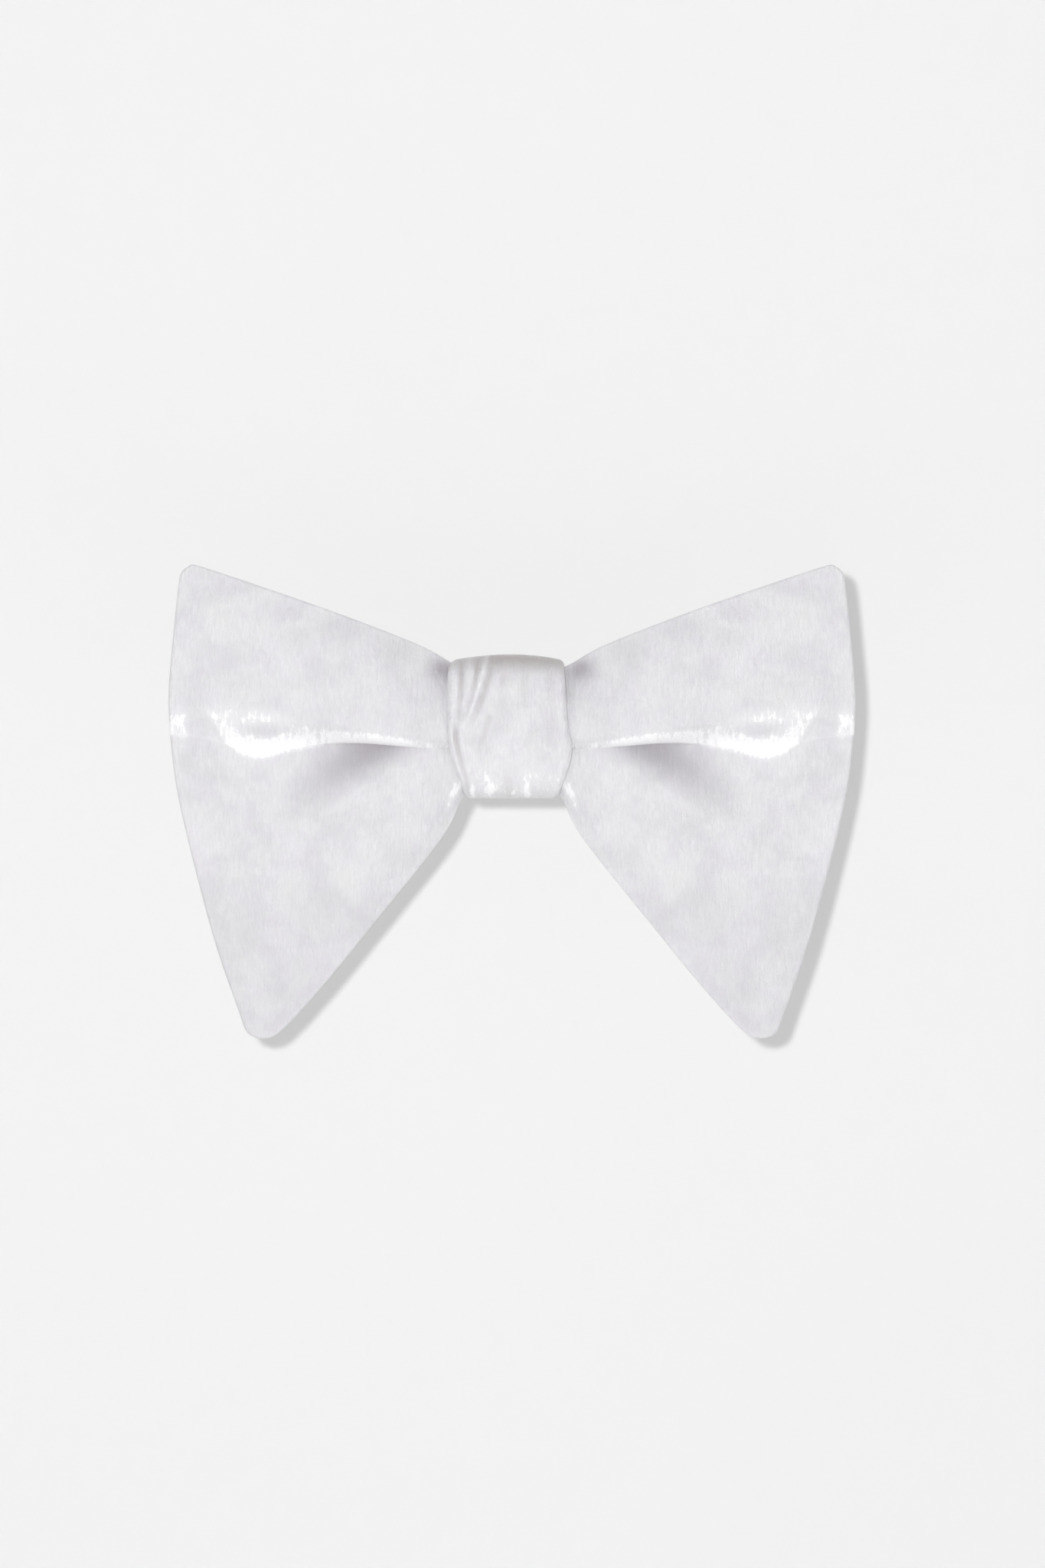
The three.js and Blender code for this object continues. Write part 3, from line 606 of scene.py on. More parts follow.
def depth_above(flat):
    x, z = flat[..., 0], flat[..., 1]
    height, total = z - crease_height(x), (z - crease_height(x))[-1:]
    crest, edge, roll = upper_crest(x), edge_depth(x), roll_height(x)
    far = np.clip((height - roll) / np.maximum(total - roll, 0.5), 0, 1)
    power = 2 + 1.6 * ease((x - 18) / 20)
    above = edge + (crest - edge) * (1 - far ** power)
    near = np.clip(height / roll, 0, 1)
    tuck = roll * (1 - np.sqrt(1 - (1 - near) ** 2))
    step = drop(x) * (1 - ease(near))
    return above - pleated(x) * tuck - (1 - pleated(x)) * step


def depth_below(flat):
    x, z = flat[..., 0], flat[..., 1]
    below, total = crease_height(x) - z, (crease_height(x) - z)[:1]
    crest, edge, reach = lower_crest(x), edge_depth(x), swell_below(x)
    reach = np.minimum(reach, 0.6 * total)
    recess = upper_crest(x) - drop(x)
    far = np.clip((below - reach) / np.maximum(total - reach, 0.5), 0, 1)
    near = np.clip(1 - below / reach, 0, 1)
    return crest - (crest - recess) * near ** 1.7 - (crest - edge) * far ** 2.4


def edge_fall(flat, from_bottom):
    """The rounding at the wing's rims: the long edge of this half, and the outer edge."""
    x, z = flat[..., 0], flat[..., 1]
    long_edge = np.abs(z - (z[:1] if from_bottom else z[-1:])) * 0.85
    outer = np.abs(x - x[:, -1:]) * 0.95
    return np.maximum(rolled(long_edge), rolled(outer))


low_depth = depth_below(low_flat) - edge_fall(low_flat, True)
top_depth = depth_above(top_flat) - edge_fall(top_flat, False)
print(f"depth of the lower half {low_depth.min():.1f} to {low_depth.max():.1f} mm, "
      f"of the upper {top_depth.min():.1f} to {top_depth.max():.1f} mm")

# %% [markdown]
# The velvet face is one panel from wing tip to wing tip. The lower half is pushed up behind the fold, a few
# hidden rows join it to the upper half, and the rim is turned back to meet the lining, as a sewn and turned
# edge is. Merging the points that fall together where the fold has opened leaves one smooth skin.

# %% Velvet face
MERGE = 0.02 * MM       # points closer than this become one


def lifted(flat, depth):
    """Grid points in metres from a flat grid in millimetres and its depth."""
    return np.stack([flat[..., 0], BOW_BACK / MM - depth, flat[..., 1]], axis=-1) * MM


def velvet_half():
    x, z = low_flat[..., 0], low_flat[..., 1]
    below = crease_height(x) - z
    pushed = low_flat.copy()
    pushed[..., 1] += overhang(x) * np.exp(-(below / 1.7) ** 2)
    low, top = lifted(pushed, low_depth), lifted(top_flat, top_depth)
    hidden = [low[-1] + (top[0] - low[-1]) * t for t in (0.25, 0.5, 0.75)]
    grid = np.concatenate([low, np.stack(hidden), top])
    flat = np.concatenate([low_flat, np.repeat(top_flat[:1], 3, axis=0), top_flat]) * MM
    return grid, flat


def turned_rim(grid, flat, back=1.4 * MM, inward=0.7 * MM):
    """Adds two rows at top and bottom and two columns outside, which go straight back and then under."""
    def turn(edge, neighbour, flat_edge, flat_neighbour, back):
        towards = neighbour - edge
        towards[..., 1] = 0
        towards /= np.maximum(np.linalg.norm(towards, axis=-1, keepdims=True), 1e-9)
        straight_back = np.array([0, 1, 0]) * back
        first = edge + towards * 0.1 * MM + straight_back
        second = edge + towards * (inward + 0.8 * MM) + straight_back * 1.25
        step = flat_edge - flat_neighbour
        step /= np.maximum(np.linalg.norm(step, axis=-1, keepdims=True), 1e-9)
        return (first, second), (flat_edge + step * back, flat_edge + step * (back + inward))

    for side in ("bottom", "top", "outer"):
        if side == "outer":
            grid, flat = grid.transpose(1, 0, 2), flat.transpose(1, 0, 2)
        depth_back = np.full((grid.shape[1], 1), back)
        if side == "outer":
            depth_back[[0, 1, -2, -1]] = MERGE      # these corners are turned back already
        first, second = (0, 4) if side == "bottom" else (-1, -5)
        points, maps = turn(grid[first], grid[second], flat[first], flat[second], depth_back)
        if side == "bottom":
            grid = np.concatenate([np.stack(points[::-1]), grid])
            flat = np.concatenate([np.stack(maps[::-1]), flat])
        else:
            grid = np.concatenate([grid, np.stack(points)])
            flat = np.concatenate([flat, np.stack(maps)])
        if side == "outer":
            grid, flat = grid.transpose(1, 0, 2), flat.transpose(1, 0, 2)
    return grid, flat


def both_wings(grid, flat):
    """Adds the mirrored wing, sharing the column at the waist, so the panel runs from tip to tip."""
    left = grid[:, :0:-1] * np.array([-1, 1, 1])
    return np.concatenate([left, grid], axis=1), np.concatenate([flat[:, :0:-1], flat], axis=1)


# The painted highlight along the fold: how far up it reaches and how strong it is. The painted shade under
# the fold: how dark it is, how far below the crease its middle lies and how wide it is.
highlight_reach = by_station([0, 14, 22, 30, 38, 45, 50, 55, 60, 67, 75],
                       [0.7, 1.0, 1.7, 2.2, 2.8, 4.0, 6.0, 9.4, 8.0, 6.0, 4.0])
highlight_strength = by_station([0, 14, 20, 34, 48, 56, 62, 66, 70, 73, 75],
                      [0.7, 0.78, 0.92, 1.0, 1.1, 1.1, 0.98, 0.84, 0.8, 0.82, 0.62])
shade_share = by_station([0, 18, 22, 26, 30, 35, 40, 45, 50, 56],
                         [0, 0.1, 0.6, 1.0, 1.06, 0.9, 0.62, 0.32, 0.1, 0])
SHADE_STATIONS = [0, 22, 26, 30, 36, 42, 48, 60]
shade_below = by_station(SHADE_STATIONS, [0, 0, 0.3, 0.9, 3.4, 7.0, 10.5, 14])
shade_width = by_station(SHADE_STATIONS, [1.2, 1.6, 2.8, 4.0, 5.6, 6.8, 6.5, 6])
KNOT_REACH = 12         # the panel's edges nearer the middle than this are under the knot


def distance_to_rim(x, z):
    """Distance inwards from the panel's outline, in millimetres."""
    edges = (LOWER_EDGE, OUTER_LOW, OUTER_TOP, TOP_EDGE[::-1])
    outline = np.vstack([smooth_line(edge, 10) for edge in edges])
    outline = outline[outline[:, 0] > KNOT_REACH]
    return np.hypot(x[..., None] - outline[:, 0], z[..., None] - outline[:, 1]).min(axis=-1)


def velvet_masks(flat):
    """Painted highlight along the fold, at the rims and corners; painted shade under the fold and by the
    knot.
    """
    x, z = flat[..., 0] / MM, flat[..., 1] / MM
    height = z - crease_height(x)
    # Painted highlight along the fold, fading upwards and stopping sharply below the crease.
    share = height / highlight_reach(x)
    above = (1 - 0.42 * np.abs(share) ** 1.4) * (1 - ease((share - 0.85) / 0.5))
    below = 1 + height / (0.5 + highlight_reach(x) * 0.16)
    painted_highlight = highlight_strength(x) * np.where(share > 0, above, below)
    # Gaps and a slanting outer end are cut out of the painted highlight.
    highlight_gap = bell(x, 53.5, 5.0) * bell(z, -0.7, 1.7)
    slanting_end = 1.35 * (x - 60) - 5.8
    past_end = ease((slanting_end - z) / 1.6) * ease((x - 59.5) / 2) * (1 - ease((x - 70.5) / 1.5))
    painted_highlight -= 1.1 * highlight_gap + 0.62 * past_end
    # Painted highlight flecks at the lower corners beside the knot, and a faint one along the rims.
    corner = bell(x + 0.35 * (13.5 + z), 12.3, 1.1) * bell(z, -14.5, 3.0)
    rim = bell(distance_to_rim(x, z), 0, 0.8)
    # Painted shade under the fold, beside the knot and in a thin line just under the fold.
    painted_shade = shade_share(x) * bell(-height, shade_below(x), shade_width(x)) * (height < 0)
    beside_knot = bell(x, 15, 3.0) * bell(z, 12.5, 2.6)
    under_fold = bell(height, -0.45, 0.4) * (x < 34)
    # The lower wing is also made darker towards the bottom.
    low_wing = ease((-22 - z) / 22)
    return {
        "painted_highlight": np.maximum.reduce([np.clip(painted_highlight, 0, 1.2), 1.05 * corner, 0.28 * rim]),
        "painted_shade": np.maximum.reduce([painted_shade, 1.05 * beside_knot, 0.75 * under_fold, 0.13 * low_wing]),
    }


velvet_grid, velvet_flat = both_wings(*turned_rim(*velvet_half()))
velvet_face = grid_object("velvet_face", velvet_grid, velvet_flat, wing_velvet, tidy=MERGE,
                          masks=velvet_masks(velvet_flat))
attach(velvet_face, "bow")
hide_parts("bow_velvet_face")


def flat_area():
    """Area of the whole panel's paper pattern, in square metres."""
    outline = np.concatenate([low_flat[0], low_flat[1:, -1], top_flat[1:, -1], top_flat[-1, ::-1]])
    x, z = outline[:, 0], outline[:, 1]
    return abs(np.dot(x, np.roll(z, 1)) - np.dot(z, np.roll(x, 1))) * MM * MM


print(f"velvet face: {len(velvet_face.data.polygons)} faces, pattern {flat_area() * 1e4:.1f} square cm")

# %% [markdown]
# Behind the velvet lie the canvas that stiffens the wings and the satin that lines them. Both follow the
# velvet, but they are flatter: the fold is only in the face cloth. Taking the lowest depth nearby and
# averaging it many times gives a surface that stays behind the velvet everywhere. The lining also shows the
# gathers that run out from the waist, where the thread draws it together.

# %% Lining and canvas
LOWEST_OF, AVERAGED = 10, 160       # how many times


def beside(depth):
    """The grid's values below, above, to the left and to the right of each point."""
    padded = np.pad(depth, 1, mode="edge")
    return padded[:-2, 1:-1], padded[2:, 1:-1], padded[1:-1, :-2], padded[1:-1, 2:]


def backing_depth(behind, gather):
    depth = np.concatenate([low_depth, top_depth[1:]])
    for _ in range(LOWEST_OF):
        depth = np.minimum.reduce([*beside(depth), depth])
    for _ in range(AVERAGED):
        depth = sum(beside(depth)) / 4
    up = np.linspace(-1, 1, depth.shape[0])[:, None]
    from_waist = (across * CREASE[-1][0])[None, :]
    gathers = (0.5 + 0.5 * np.sin(15 * up + 0.6 * np.sin(9 * up))) * np.exp(-from_waist / 22)
    return depth - behind - gather * gathers


def thicken(piece, thickness):
    solid = piece.modifiers.new("cloth", "SOLIDIFY")
    solid.thickness, solid.offset = thickness, 0


def backing(name, behind, gather, inset, material, node):
    flat = np.concatenate([low_flat, top_flat[1:]])
    rows = np.linspace(-1, 1, flat.shape[0])[:, None]
    shrunk = flat.copy()
    shrunk[..., 1] -= inset * np.sign(rows) * ease((np.abs(rows) - 0.55) / 0.45)
    shrunk[..., 0] -= inset * ease((np.arange(COLUMNS) / (COLUMNS - 1) - 0.8) / 0.2)[None, :]
    grid, sheet_flat = both_wings(lifted(shrunk, backing_depth(behind, gather)), flat * MM)
    piece = grid_object(name, grid[::2, ::2], sheet_flat[::2, ::2], material)
    thicken(piece, 0.35 * MM)
    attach(piece, "bow")
    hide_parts(node)
    return piece


lining = backing("lining", 0.7, 1.5, 0.75, lining_satin, "bow_lining")
canvas = backing("canvas_layer", 0.25, 0.0, 2.6, stiff_canvas, "bow_canvas")
print("backing:", lining.name, canvas.name)

# %% [markdown]
# The knot is a band of the same velvet drawn round the middle. Its section is a rounded box, it is widest a
# little below its middle, and its front is gently domed. Pulling the band tight left creases down its left
# side: a folded edge, a second short strip beside it and a fold that runs down across both. Each is a line
# on the knot's front with a width and a height, and the band's surface is pushed out or in around it.

# %% Creases of the knot
KNOT_FRONT, KNOT_BACK = -knot_low[1] / MM, -knot_high[1] / MM
KNOT_HALF_HEIGHT = knot_high[2] / MM
# Each crease: points (x, z) on the front from its upper end, half width, and height at its start and at its
# end. Heights below zero are valleys.
CREASES = [
    ([(-11.2, 16), (-11.1, 11), (-11.3, 7), (-11.7, 2)], 0.55, -0.75, -0.25),
    ([(-12.8, 15), (-12.9, 6), (-13.3, 0), (-12.5, -6), (-11.0, -12)], 0.8, 0.3, 0.3),
    ([(-9.3, 15.5), (-9.3, 10), (-9.7, 6)], 0.9, 0.5, 0.2),
    ([(-7.2, 16), (-7.6, 12.5), (-8.4, 8.5), (-9.6, 5)], 0.6, -0.8, -0.35),
    ([(-5.4, 16), (-6.2, 12), (-7.4, 8), (-8.7, 4), (-10.0, 1.2), (-11.4, -0.6)], 0.75, 0.6, 0.65),
    ([(-3.9, 16), (-4.9, 11.5), (-6.1, 7.5), (-7.5, 3.8), (-9.0, 0.8)], 0.7, -0.65, -0.3),
    ([(-12.4, -0.4), (-12.3, -3), (-11.3, -7.5), (-10.3, -11.5), (-9.5, -15)], 0.5, -0.7, -0.4),
    ([(-11.1, -2), (-10.4, -6), (-9.2, -12)], 0.7, 0.3, 0.2),
    ([(-5.0, 2), (-6.2, -2), (-7.3, -5.4)], 0.7, -0.22, -0.1),
    ([(-1.4, 14), (-2.2, 8), (-2.6, 2)], 0.9, -0.2, -0.05),
    ([(3.0, 13), (2.4, 6), (2.3, 0)], 1.1, -0.18, 0.0),
    ([(8.0, 14), (8.8, 5), (9.2, -4)], 1.2, -0.2, -0.05),
    ([(-4.8, -9), (-4.8, -12), (-4.9, -15.5)], 1.0, 0.1, 0.55),
    ([(3.1, -10), (3.2, -12.5), (3.2, -15.5)], 1.0, 0.05, 0.5),
    ([(-0.8, -9), (-0.8, -12.5), (-0.7, -15.5)], 1.2, 0.0, -0.3),
]


def crease_relief(x, z):
    relief = np.zeros_like(x)
    for points, half_width, first, last in CREASES:
        line = smooth_line(points, 10)
        gap = np.hypot(x[..., None] - line[:, 0], z[..., None] - line[:, 1])
        height = first + (last - first) * gap.argmin(axis=-1) / (len(line) - 1)
        relief += height * bell(gap.min(axis=-1), 0, half_width)
    return relief


print(len(CREASES), "creases")

# %% [markdown]
# The band itself is a grid that closes on itself round the loop. Across the band it bends inwards at both
# sides and runs a little way under, as a folded edge does, so no raw edge shows beside the wings. Behind, a
# step in its surface shows where its end laps over its beginning, and there it is sewn.

# %% Knot wrap
LOOP, BAND = 320, 150
side_left = by_station([-16, -12, -8, -4, 0, 5, 12, 15], [9.9, 11.3, 13.0, 14.1, 14.3, 14.2, 14.0, 13.2], 1.2)
side_right = by_station([-16, -12, -8, -4, 0, 5, 14], [9.7, 11.4, 12.8, 13.3, 12.3, 11.9, 11.4], 1.2)


def knot_section(turn, inset, across_band):
    """Depth and height round the loop, in millimetres: a rounded box with a gently domed front."""
    half_depth = (KNOT_FRONT - KNOT_BACK) / 2 - inset
    dome = 1.6 * across_band ** 2
    half_height = KNOT_HALF_HEIGHT - inset
    power = 2 / 3.4
    c, s = np.cos(turn), np.sin(turn)
    forward = np.sign(c) * np.abs(c) ** power
    upward = np.sign(s) * np.abs(s) ** power
    depth = (KNOT_FRONT + KNOT_BACK) / 2 + half_depth * forward - dome * np.clip(forward, 0, 1)
    height = half_height * upward - np.where(upward > 0, 1.3 * across_band ** 2 * upward ** 2, 0)
    return depth, height


def knot_grid():
    turn = np.linspace(0, 2 * np.pi, LOOP, endpoint=False) - 0.9 * np.pi
    turn = turn - 0.18 * np.sin(2 * turn)
    reach = np.linspace(-1, 1, BAND)
    reach = np.sign(reach) * (1 - (1 - np.abs(reach)) ** 1.25)
    fold = np.clip((np.abs(reach) - 0.9) / 0.1, 0, 1)       # the outer tenth is folded under
    inset = 1.1 * (1 - np.sqrt(1 - fold ** 2))
    reach = np.concatenate([[-0.93, -0.985], reach, [0.985, 0.93]])
    inset = np.concatenate([[3.0, 2.0], inset, [2.0, 3.0]])
    turns, reaches = np.meshgrid(turn, reach, indexing="ij")
    depth, height = knot_section(turns, inset[None, :], reaches)
    side = np.where(reaches < 0, side_left(height), side_right(height))
    x = reaches * side
    front = ease((depth - 70) / 8)
    relief = crease_relief(x, height) * front * (np.abs(reaches) < 0.999)
    relief *= ease((1.6 - inset[None, :]) / 1.6 + 0.15)
    lap = ease((height + 9.6) / 0.5) * ease((63 - depth) / 2) * ease((11 - height) / 4)
    relief -= 0.45 * lap
    grid = np.stack([x, -(depth + relief), height], axis=-1) * MM
    along = lengths(grid[:, BAND // 2])
    flat = np.stack([x * MM, np.broadcast_to(along[:, None], x.shape)], axis=-1)
    # Painted shade on the knot's top and in its crease valleys; painted highlight on its crease ridges, over
    # its lower part and in three spots near its bottom.
    top_shade = 0.95 * ease((height - 10.2) / 5.2) * np.where(front > 0, 1, 0.4)
    top_shade *= 0.72 + 0.28 * ease((x + 7) / 4)
    valley = np.clip(-1.25 * relief, 0, 0.8)
    ridge = np.clip(0.75 * relief, 0, 0.36)
    gleam = 0.46 * ease((-1 - height) / 13) * front
    for spot, size in ((-4.85, 0.85), (3.25, 0.8), (-8.6, 0.5)):
        gleam += 0.75 * bell(x, spot, size) * bell(height, -14.2, 2.0) * front
    painted_shade = np.clip(np.maximum(top_shade - 0.35 * ridge, valley), 0, 1)
    return grid, flat, {"painted_highlight": np.maximum(gleam, ridge), "painted_shade": painted_shade}


def knot_canvas_grid():
    """A narrower, smooth band just inside the wrap."""
    turn, reach = np.linspace(0, 2 * np.pi, 96, endpoint=False), np.linspace(-0.84, 0.84, 24)
    turns, reaches = np.meshgrid(turn, reach, indexing="ij")
    depth, height = knot_section(turns, 1.7, reaches)
    side = np.where(reaches < 0, side_left(height), side_right(height))
    x = reaches * np.minimum(side, 12.4)
    grid = np.stack([x, -depth, height], axis=-1) * MM
    along = lengths(grid[:, 12])
    return grid, np.stack([x * MM, np.broadcast_to(along[:, None], x.shape)], axis=-1)


knot_points, knot_map, knot_masks = knot_grid()
knot = grid_object("knot_band", knot_points, knot_map, knot_velvet, closed_rows=True, masks=knot_masks)
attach(knot, "bow")
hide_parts("knot_wrap")

knot_stiffener = grid_object("knot_stiffener", *knot_canvas_grid(), stiff_canvas, closed_rows=True)
thicken(knot_stiffener, 0.5 * MM)
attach(knot_stiffener, "bow")
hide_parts("knot_canvas")

# %% [markdown]
# The strap is one ribbon, but it moves in parts: each half bends out beside the knot, and on the right the
# ribbon runs through the slide and round the hook's bar. So it is drawn in runs that meet edge to edge. A
# run that crosses a joint is left where it lies, on no body, and the others ride on one. A run is a middle
# line in plan, swept with a ribbon's section: flat faces and slightly thicker, rounded selvedges.

# %% Ribbon helper
RIBBON_SECTION = [(-8.0, 0.0), (-7.96, 0.32), (-7.8, 0.46), (-7.3, 0.46), (-7.0, 0.38), (-3.5, 0.4), (0, 0.4),
                  (3.5, 0.4), (7.0, 0.38), (7.3, 0.46), (7.8, 0.46), (7.96, 0.32), (8.0, 0.0)]


def on_circle(radius, degrees, along=0.0):
    """A point at an angle from the nape, positive towards +X, in metres."""
    a = math.radians(degrees)
    return np.array([radius * math.sin(a) + along * math.cos(a), radius * math.cos(a) - along * math.sin(a)])


def arc(start, stop, radius, end_radius=None, step=1.0):
    count = max(2, int(abs(stop - start) / step) + 1)
    return [on_circle(radius + ((end_radius or radius) - radius) * t, start + (stop - start) * t)
            for t in np.linspace(0, 1, count)]


def turn_round(centre_radius, degrees, towards, radius):
    """Half a turn round a bar, from its outer to its inner side; towards is -1 where it faces the nape."""
    return [on_circle(centre_radius + radius * math.cos(t), degrees, towards * radius * math.sin(t))
            for t in np.linspace(0, math.pi, 19)]


def ribbon(name, runs, started=0.0):
    """A ribbon along a line in plan; started is the length of ribbon before it, so that the weave runs on."""
    line = np.array([p for run in runs for p in run])
    keep = np.concatenate([[True], np.linalg.norm(np.diff(line, axis=0), axis=1) > 0.02 * MM])
    line = line[keep]
    ahead = np.gradient(line, axis=0)
    ahead /= np.linalg.norm(ahead, axis=1, keepdims=True)
    aside = np.stack([-ahead[:, 1], ahead[:, 0]], axis=1)
    section = RIBBON_SECTION + [(h, -t) for h, t in RIBBON_SECTION[-2:0:-1]]
    heights, offsets = np.array(section).T * MM
    heights = np.append(heights, heights[0]) * STRAP_HALF / (8 * MM)
    offsets = np.append(offsets, offsets[0]) * STRAP_THICK / MM
    plan = line[:, None] + aside[:, None] * offsets[None, :, None]
    grid = np.concatenate([plan, np.broadcast_to(heights, plan.shape[:2])[..., None]], axis=-1)
    run = started + lengths(line)
    flat = np.stack(np.broadcast_arrays(run[:, None], heights), axis=-1)
    piece = grid_object(name, grid, flat, ribbon_satin, tidy=0.005 * MM)
    close_ends(piece)
    print(f"{name}: {(run[-1] - run[0]) / MM:.0f} mm")
    return piece, float(run[-1])


def close_ends(piece):
    """Closes both ends with flat cuts, kept sharp so that a cut doesn't shade the faces beside it."""
    work = bmesh.new()
    work.from_mesh(piece.data)
    rims = [edge for edge in work.edges if edge.is_boundary]
    for edge in rims:
        edge.smooth = False
    for face in bmesh.ops.holes_fill(work, edges=rims, sides=0)["faces"]:
        face.smooth = False
    bmesh.ops.recalc_face_normals(work, faces=work.faces)
    work.to_mesh(piece.data)
    work.free()


# %% [markdown]
# The bars tell where the ribbon turns. Round each bar it keeps half its own thickness and a hair's
# clearance away from the metal. On the eye's side the end is turned back and sewn down. On the hook's side
# it comes round the bar, runs back inside as the tail and is sewn round the slide's middle bar.

# %% Strap runs
CLEAR, BAR_HALF = 0.3 * MM, 0.6 * MM
turn_radius = BAR_HALF + CLEAR + STRAP_THICK / 2
plan_angle = lambda v: math.degrees(math.atan2(v[0], v[1]))
HOOK_AT, EYE_AT, SLIDE_AT = plan_angle(joint_at["hook_tilt"]), plan_angle(joint_at["eye_tilt"]), 50.0
HINGE_AT, TAKE_UP_AT, LEAD = plan_angle(joint_at["band_right_swing"]), 100.0, 3.6
bar_radius = Vector(joint_at["hook_tilt"][:2]).length
tail_at_hook = bar_radius - turn_radius
tail_radius = STRAP_R - STRAP_THICK - CLEAR
slide_radius = tail_radius - turn_radius
degrees_for = lambda length, radius=STRAP_R: math.degrees(length / radius)


def turned_end(centre, at, towards, outer):
    """The last stretch of a strap: round a bar, back, and flat against itself where it is sewn."""
    sewn = outer - STRAP_THICK - 2 * CLEAR
    closed, last = (at - towards * degrees_for(length * MM, centre) for length in (4.5, 9.0))
    return [turn_round(centre, at, towards, turn_radius), arc(at, closed, centre - turn_radius, sewn),
            arc(closed, last, sewn)]


MIDDLE_FROM, MIDDLE_TO, HALF_FROM = 187, 173, 172.9     # degrees round the neck
middle_run, _ = ribbon("strap_middle", [arc(MIDDLE_FROM, MIDDLE_TO, STRAP_R)])
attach(middle_run, "bow")
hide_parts("strap_centre")

left_run, _ = ribbon("strap_left_half", [
    arc(-HALF_FROM, EYE_AT, STRAP_R), *turned_end(bar_radius, EYE_AT, 1, STRAP_R)])
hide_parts("strap_left", "strap_left_end")
right_run, so_far = ribbon("strap_right_half", [arc(HALF_FROM, TAKE_UP_AT, STRAP_R)])
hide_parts("strap_right")
for piece, side, body in ((left_run, -1, "band_left"), (right_run, 1, "band_right")):
    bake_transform(piece)

take_up, so_far = ribbon("strap_take_up_run", [
    arc(TAKE_UP_AT, HOOK_AT, STRAP_R), turn_round(bar_radius, HOOK_AT, -1, turn_radius),
    arc(HOOK_AT, HOOK_AT + LEAD, tail_at_hook)], so_far)
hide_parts("strap_take_up", "strap_hook_bight")
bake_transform(take_up)

tail_run, so_far = ribbon("strap_tail_run", [
    arc(HOOK_AT + LEAD, SLIDE_AT - LEAD, tail_at_hook, tail_radius)], so_far)
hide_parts("strap_tail")
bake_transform(tail_run)

tail_end, so_far = ribbon("strap_tail_sewn", [
    arc(SLIDE_AT - LEAD, SLIDE_AT, tail_radius), *turned_end(slide_radius, SLIDE_AT, 1, tail_radius)],
    so_far)
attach(tail_end, "adjuster")
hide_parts("strap_tail_end")
print(f"ribbon on the hook's side: {so_far / MM:.0f} mm in all")

# %% [markdown]
# Stitches hold the turned ends and the wrap. A bar tack is a dense row of short threads side by side. Each
# thread is a small arched tube that dips into the cloth at both ends. They are made as one mesh per tack.

# %% Stitches
TUBE_SIDES = 8


def add_tube(work, centres, radius, sideways):
    """Adds a round thread along a line of points."""
    rings = []
    for before, centre, after in zip([centres[0], *centres], centres, [*centres[1:], centres[-1]]):
        ahead = (after - before).normalized()
        side = (sideways - ahead * sideways.dot(ahead)).normalized()
        up = side.cross(ahead)
        rings.append([work.verts.new(centre + (side * math.cos(a) + up * math.sin(a)) * radius)
                      for a in np.linspace(0, 2 * math.pi, TUBE_SIDES, endpoint=False)])
    for low, high in zip(rings, rings[1:]):
        for k in range(TUBE_SIDES):
            following = (k + 1) % TUBE_SIDES
            work.faces.new((low[k], low[following], high[following], high[k]))
    work.faces.new(rings[0][::-1])
    work.faces.new(rings[-1])


def threads(name, lines, radius, body, node):
    """One mesh of threads; each line is its points and a direction across it."""
    work = bmesh.new()
    for centres, sideways in lines:
        add_tube(work, [Vector(c) for c in centres], radius, Vector(sideways))
    mesh = bpy.data.meshes.new(name)
    work.to_mesh(mesh)
    work.free()
    piece = finished(name, mesh, thread)
    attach(piece, body)
    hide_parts(node)
    print(f"{name}: {len(lines)} threads")


def stitch_row(name, stitches, radius, body, node):
    """Short arched stitches; each is (from, to, outward) in metres."""
    lines = []
    for start, stop, outward in stitches:
        start, stop, outward = Vector(start), Vector(stop), Vector(outward).normalized()
        lines.append(([start.lerp(stop, t) + outward * radius * (2.2 * math.sin(math.pi * t) - 0.6)
                       for t in np.linspace(0, 1, 9)], (stop - start).cross(outward)))
    threads(name, lines, radius, body, node)


def bar_tack(radius, outward, at, count=26):
    """Short threads along the strap, stacked over its width."""
    radial = on_circle(outward, at)
    for height in np.linspace(-6.3, 6.3, count) * MM:
        slant = 0.1 * MM * math.sin(40 * height / MM)
        yield ((*on_circle(radius, at, -0.75 * MM + slant), height),
               (*on_circle(radius, at, 0.75 * MM + slant), height + 0.1 * MM), (*radial, 0))


back = degrees_for(0.8 * 9 * MM)
ABOVE_CLOTH = 0.42 * MM
eye_tack = list(bar_tack(STRAP_R + ABOVE_CLOTH, 1, EYE_AT - back))
stitch_row("eye_stitches", eye_tack, 0.2 * MM, "band_left", "eye_tack")
inner = tail_radius - STRAP_THICK - 2 * CLEAR - ABOVE_CLOTH
slide_tack = list(bar_tack(inner, -1, SLIDE_AT - back))
stitch_row("slide_stitches", slide_tack, 0.2 * MM, "adjuster", "adjuster_tack")


def whip_stitch(x):
    """A slanting stitch over the edge of the knot's lap."""
    middle = sum(corner[2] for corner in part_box("knot_tack")) / 2
    low = (x * MM, knot_high[1] + 0.1 * MM, middle - 1.3 * MM)
    high = ((x + 0.5) * MM, knot_high[1] + 0.55 * MM, middle + 0.7 * MM)
    return low, high, (0, 1, 0)


whips = [whip_stitch(x) for x in np.arange(-8, 7.6, 0.9)]
stitch_row("knot_stitches", whips, 0.22 * MM, "bow", "knot_tack")

# %% [markdown]
# Under the knot the wings are drawn together by thread wound round the waist many times. Nobody sees it
# once the wrap is on, but it is what makes the wings fan out. It is one long line, laid turn beside turn
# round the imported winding's own outline.

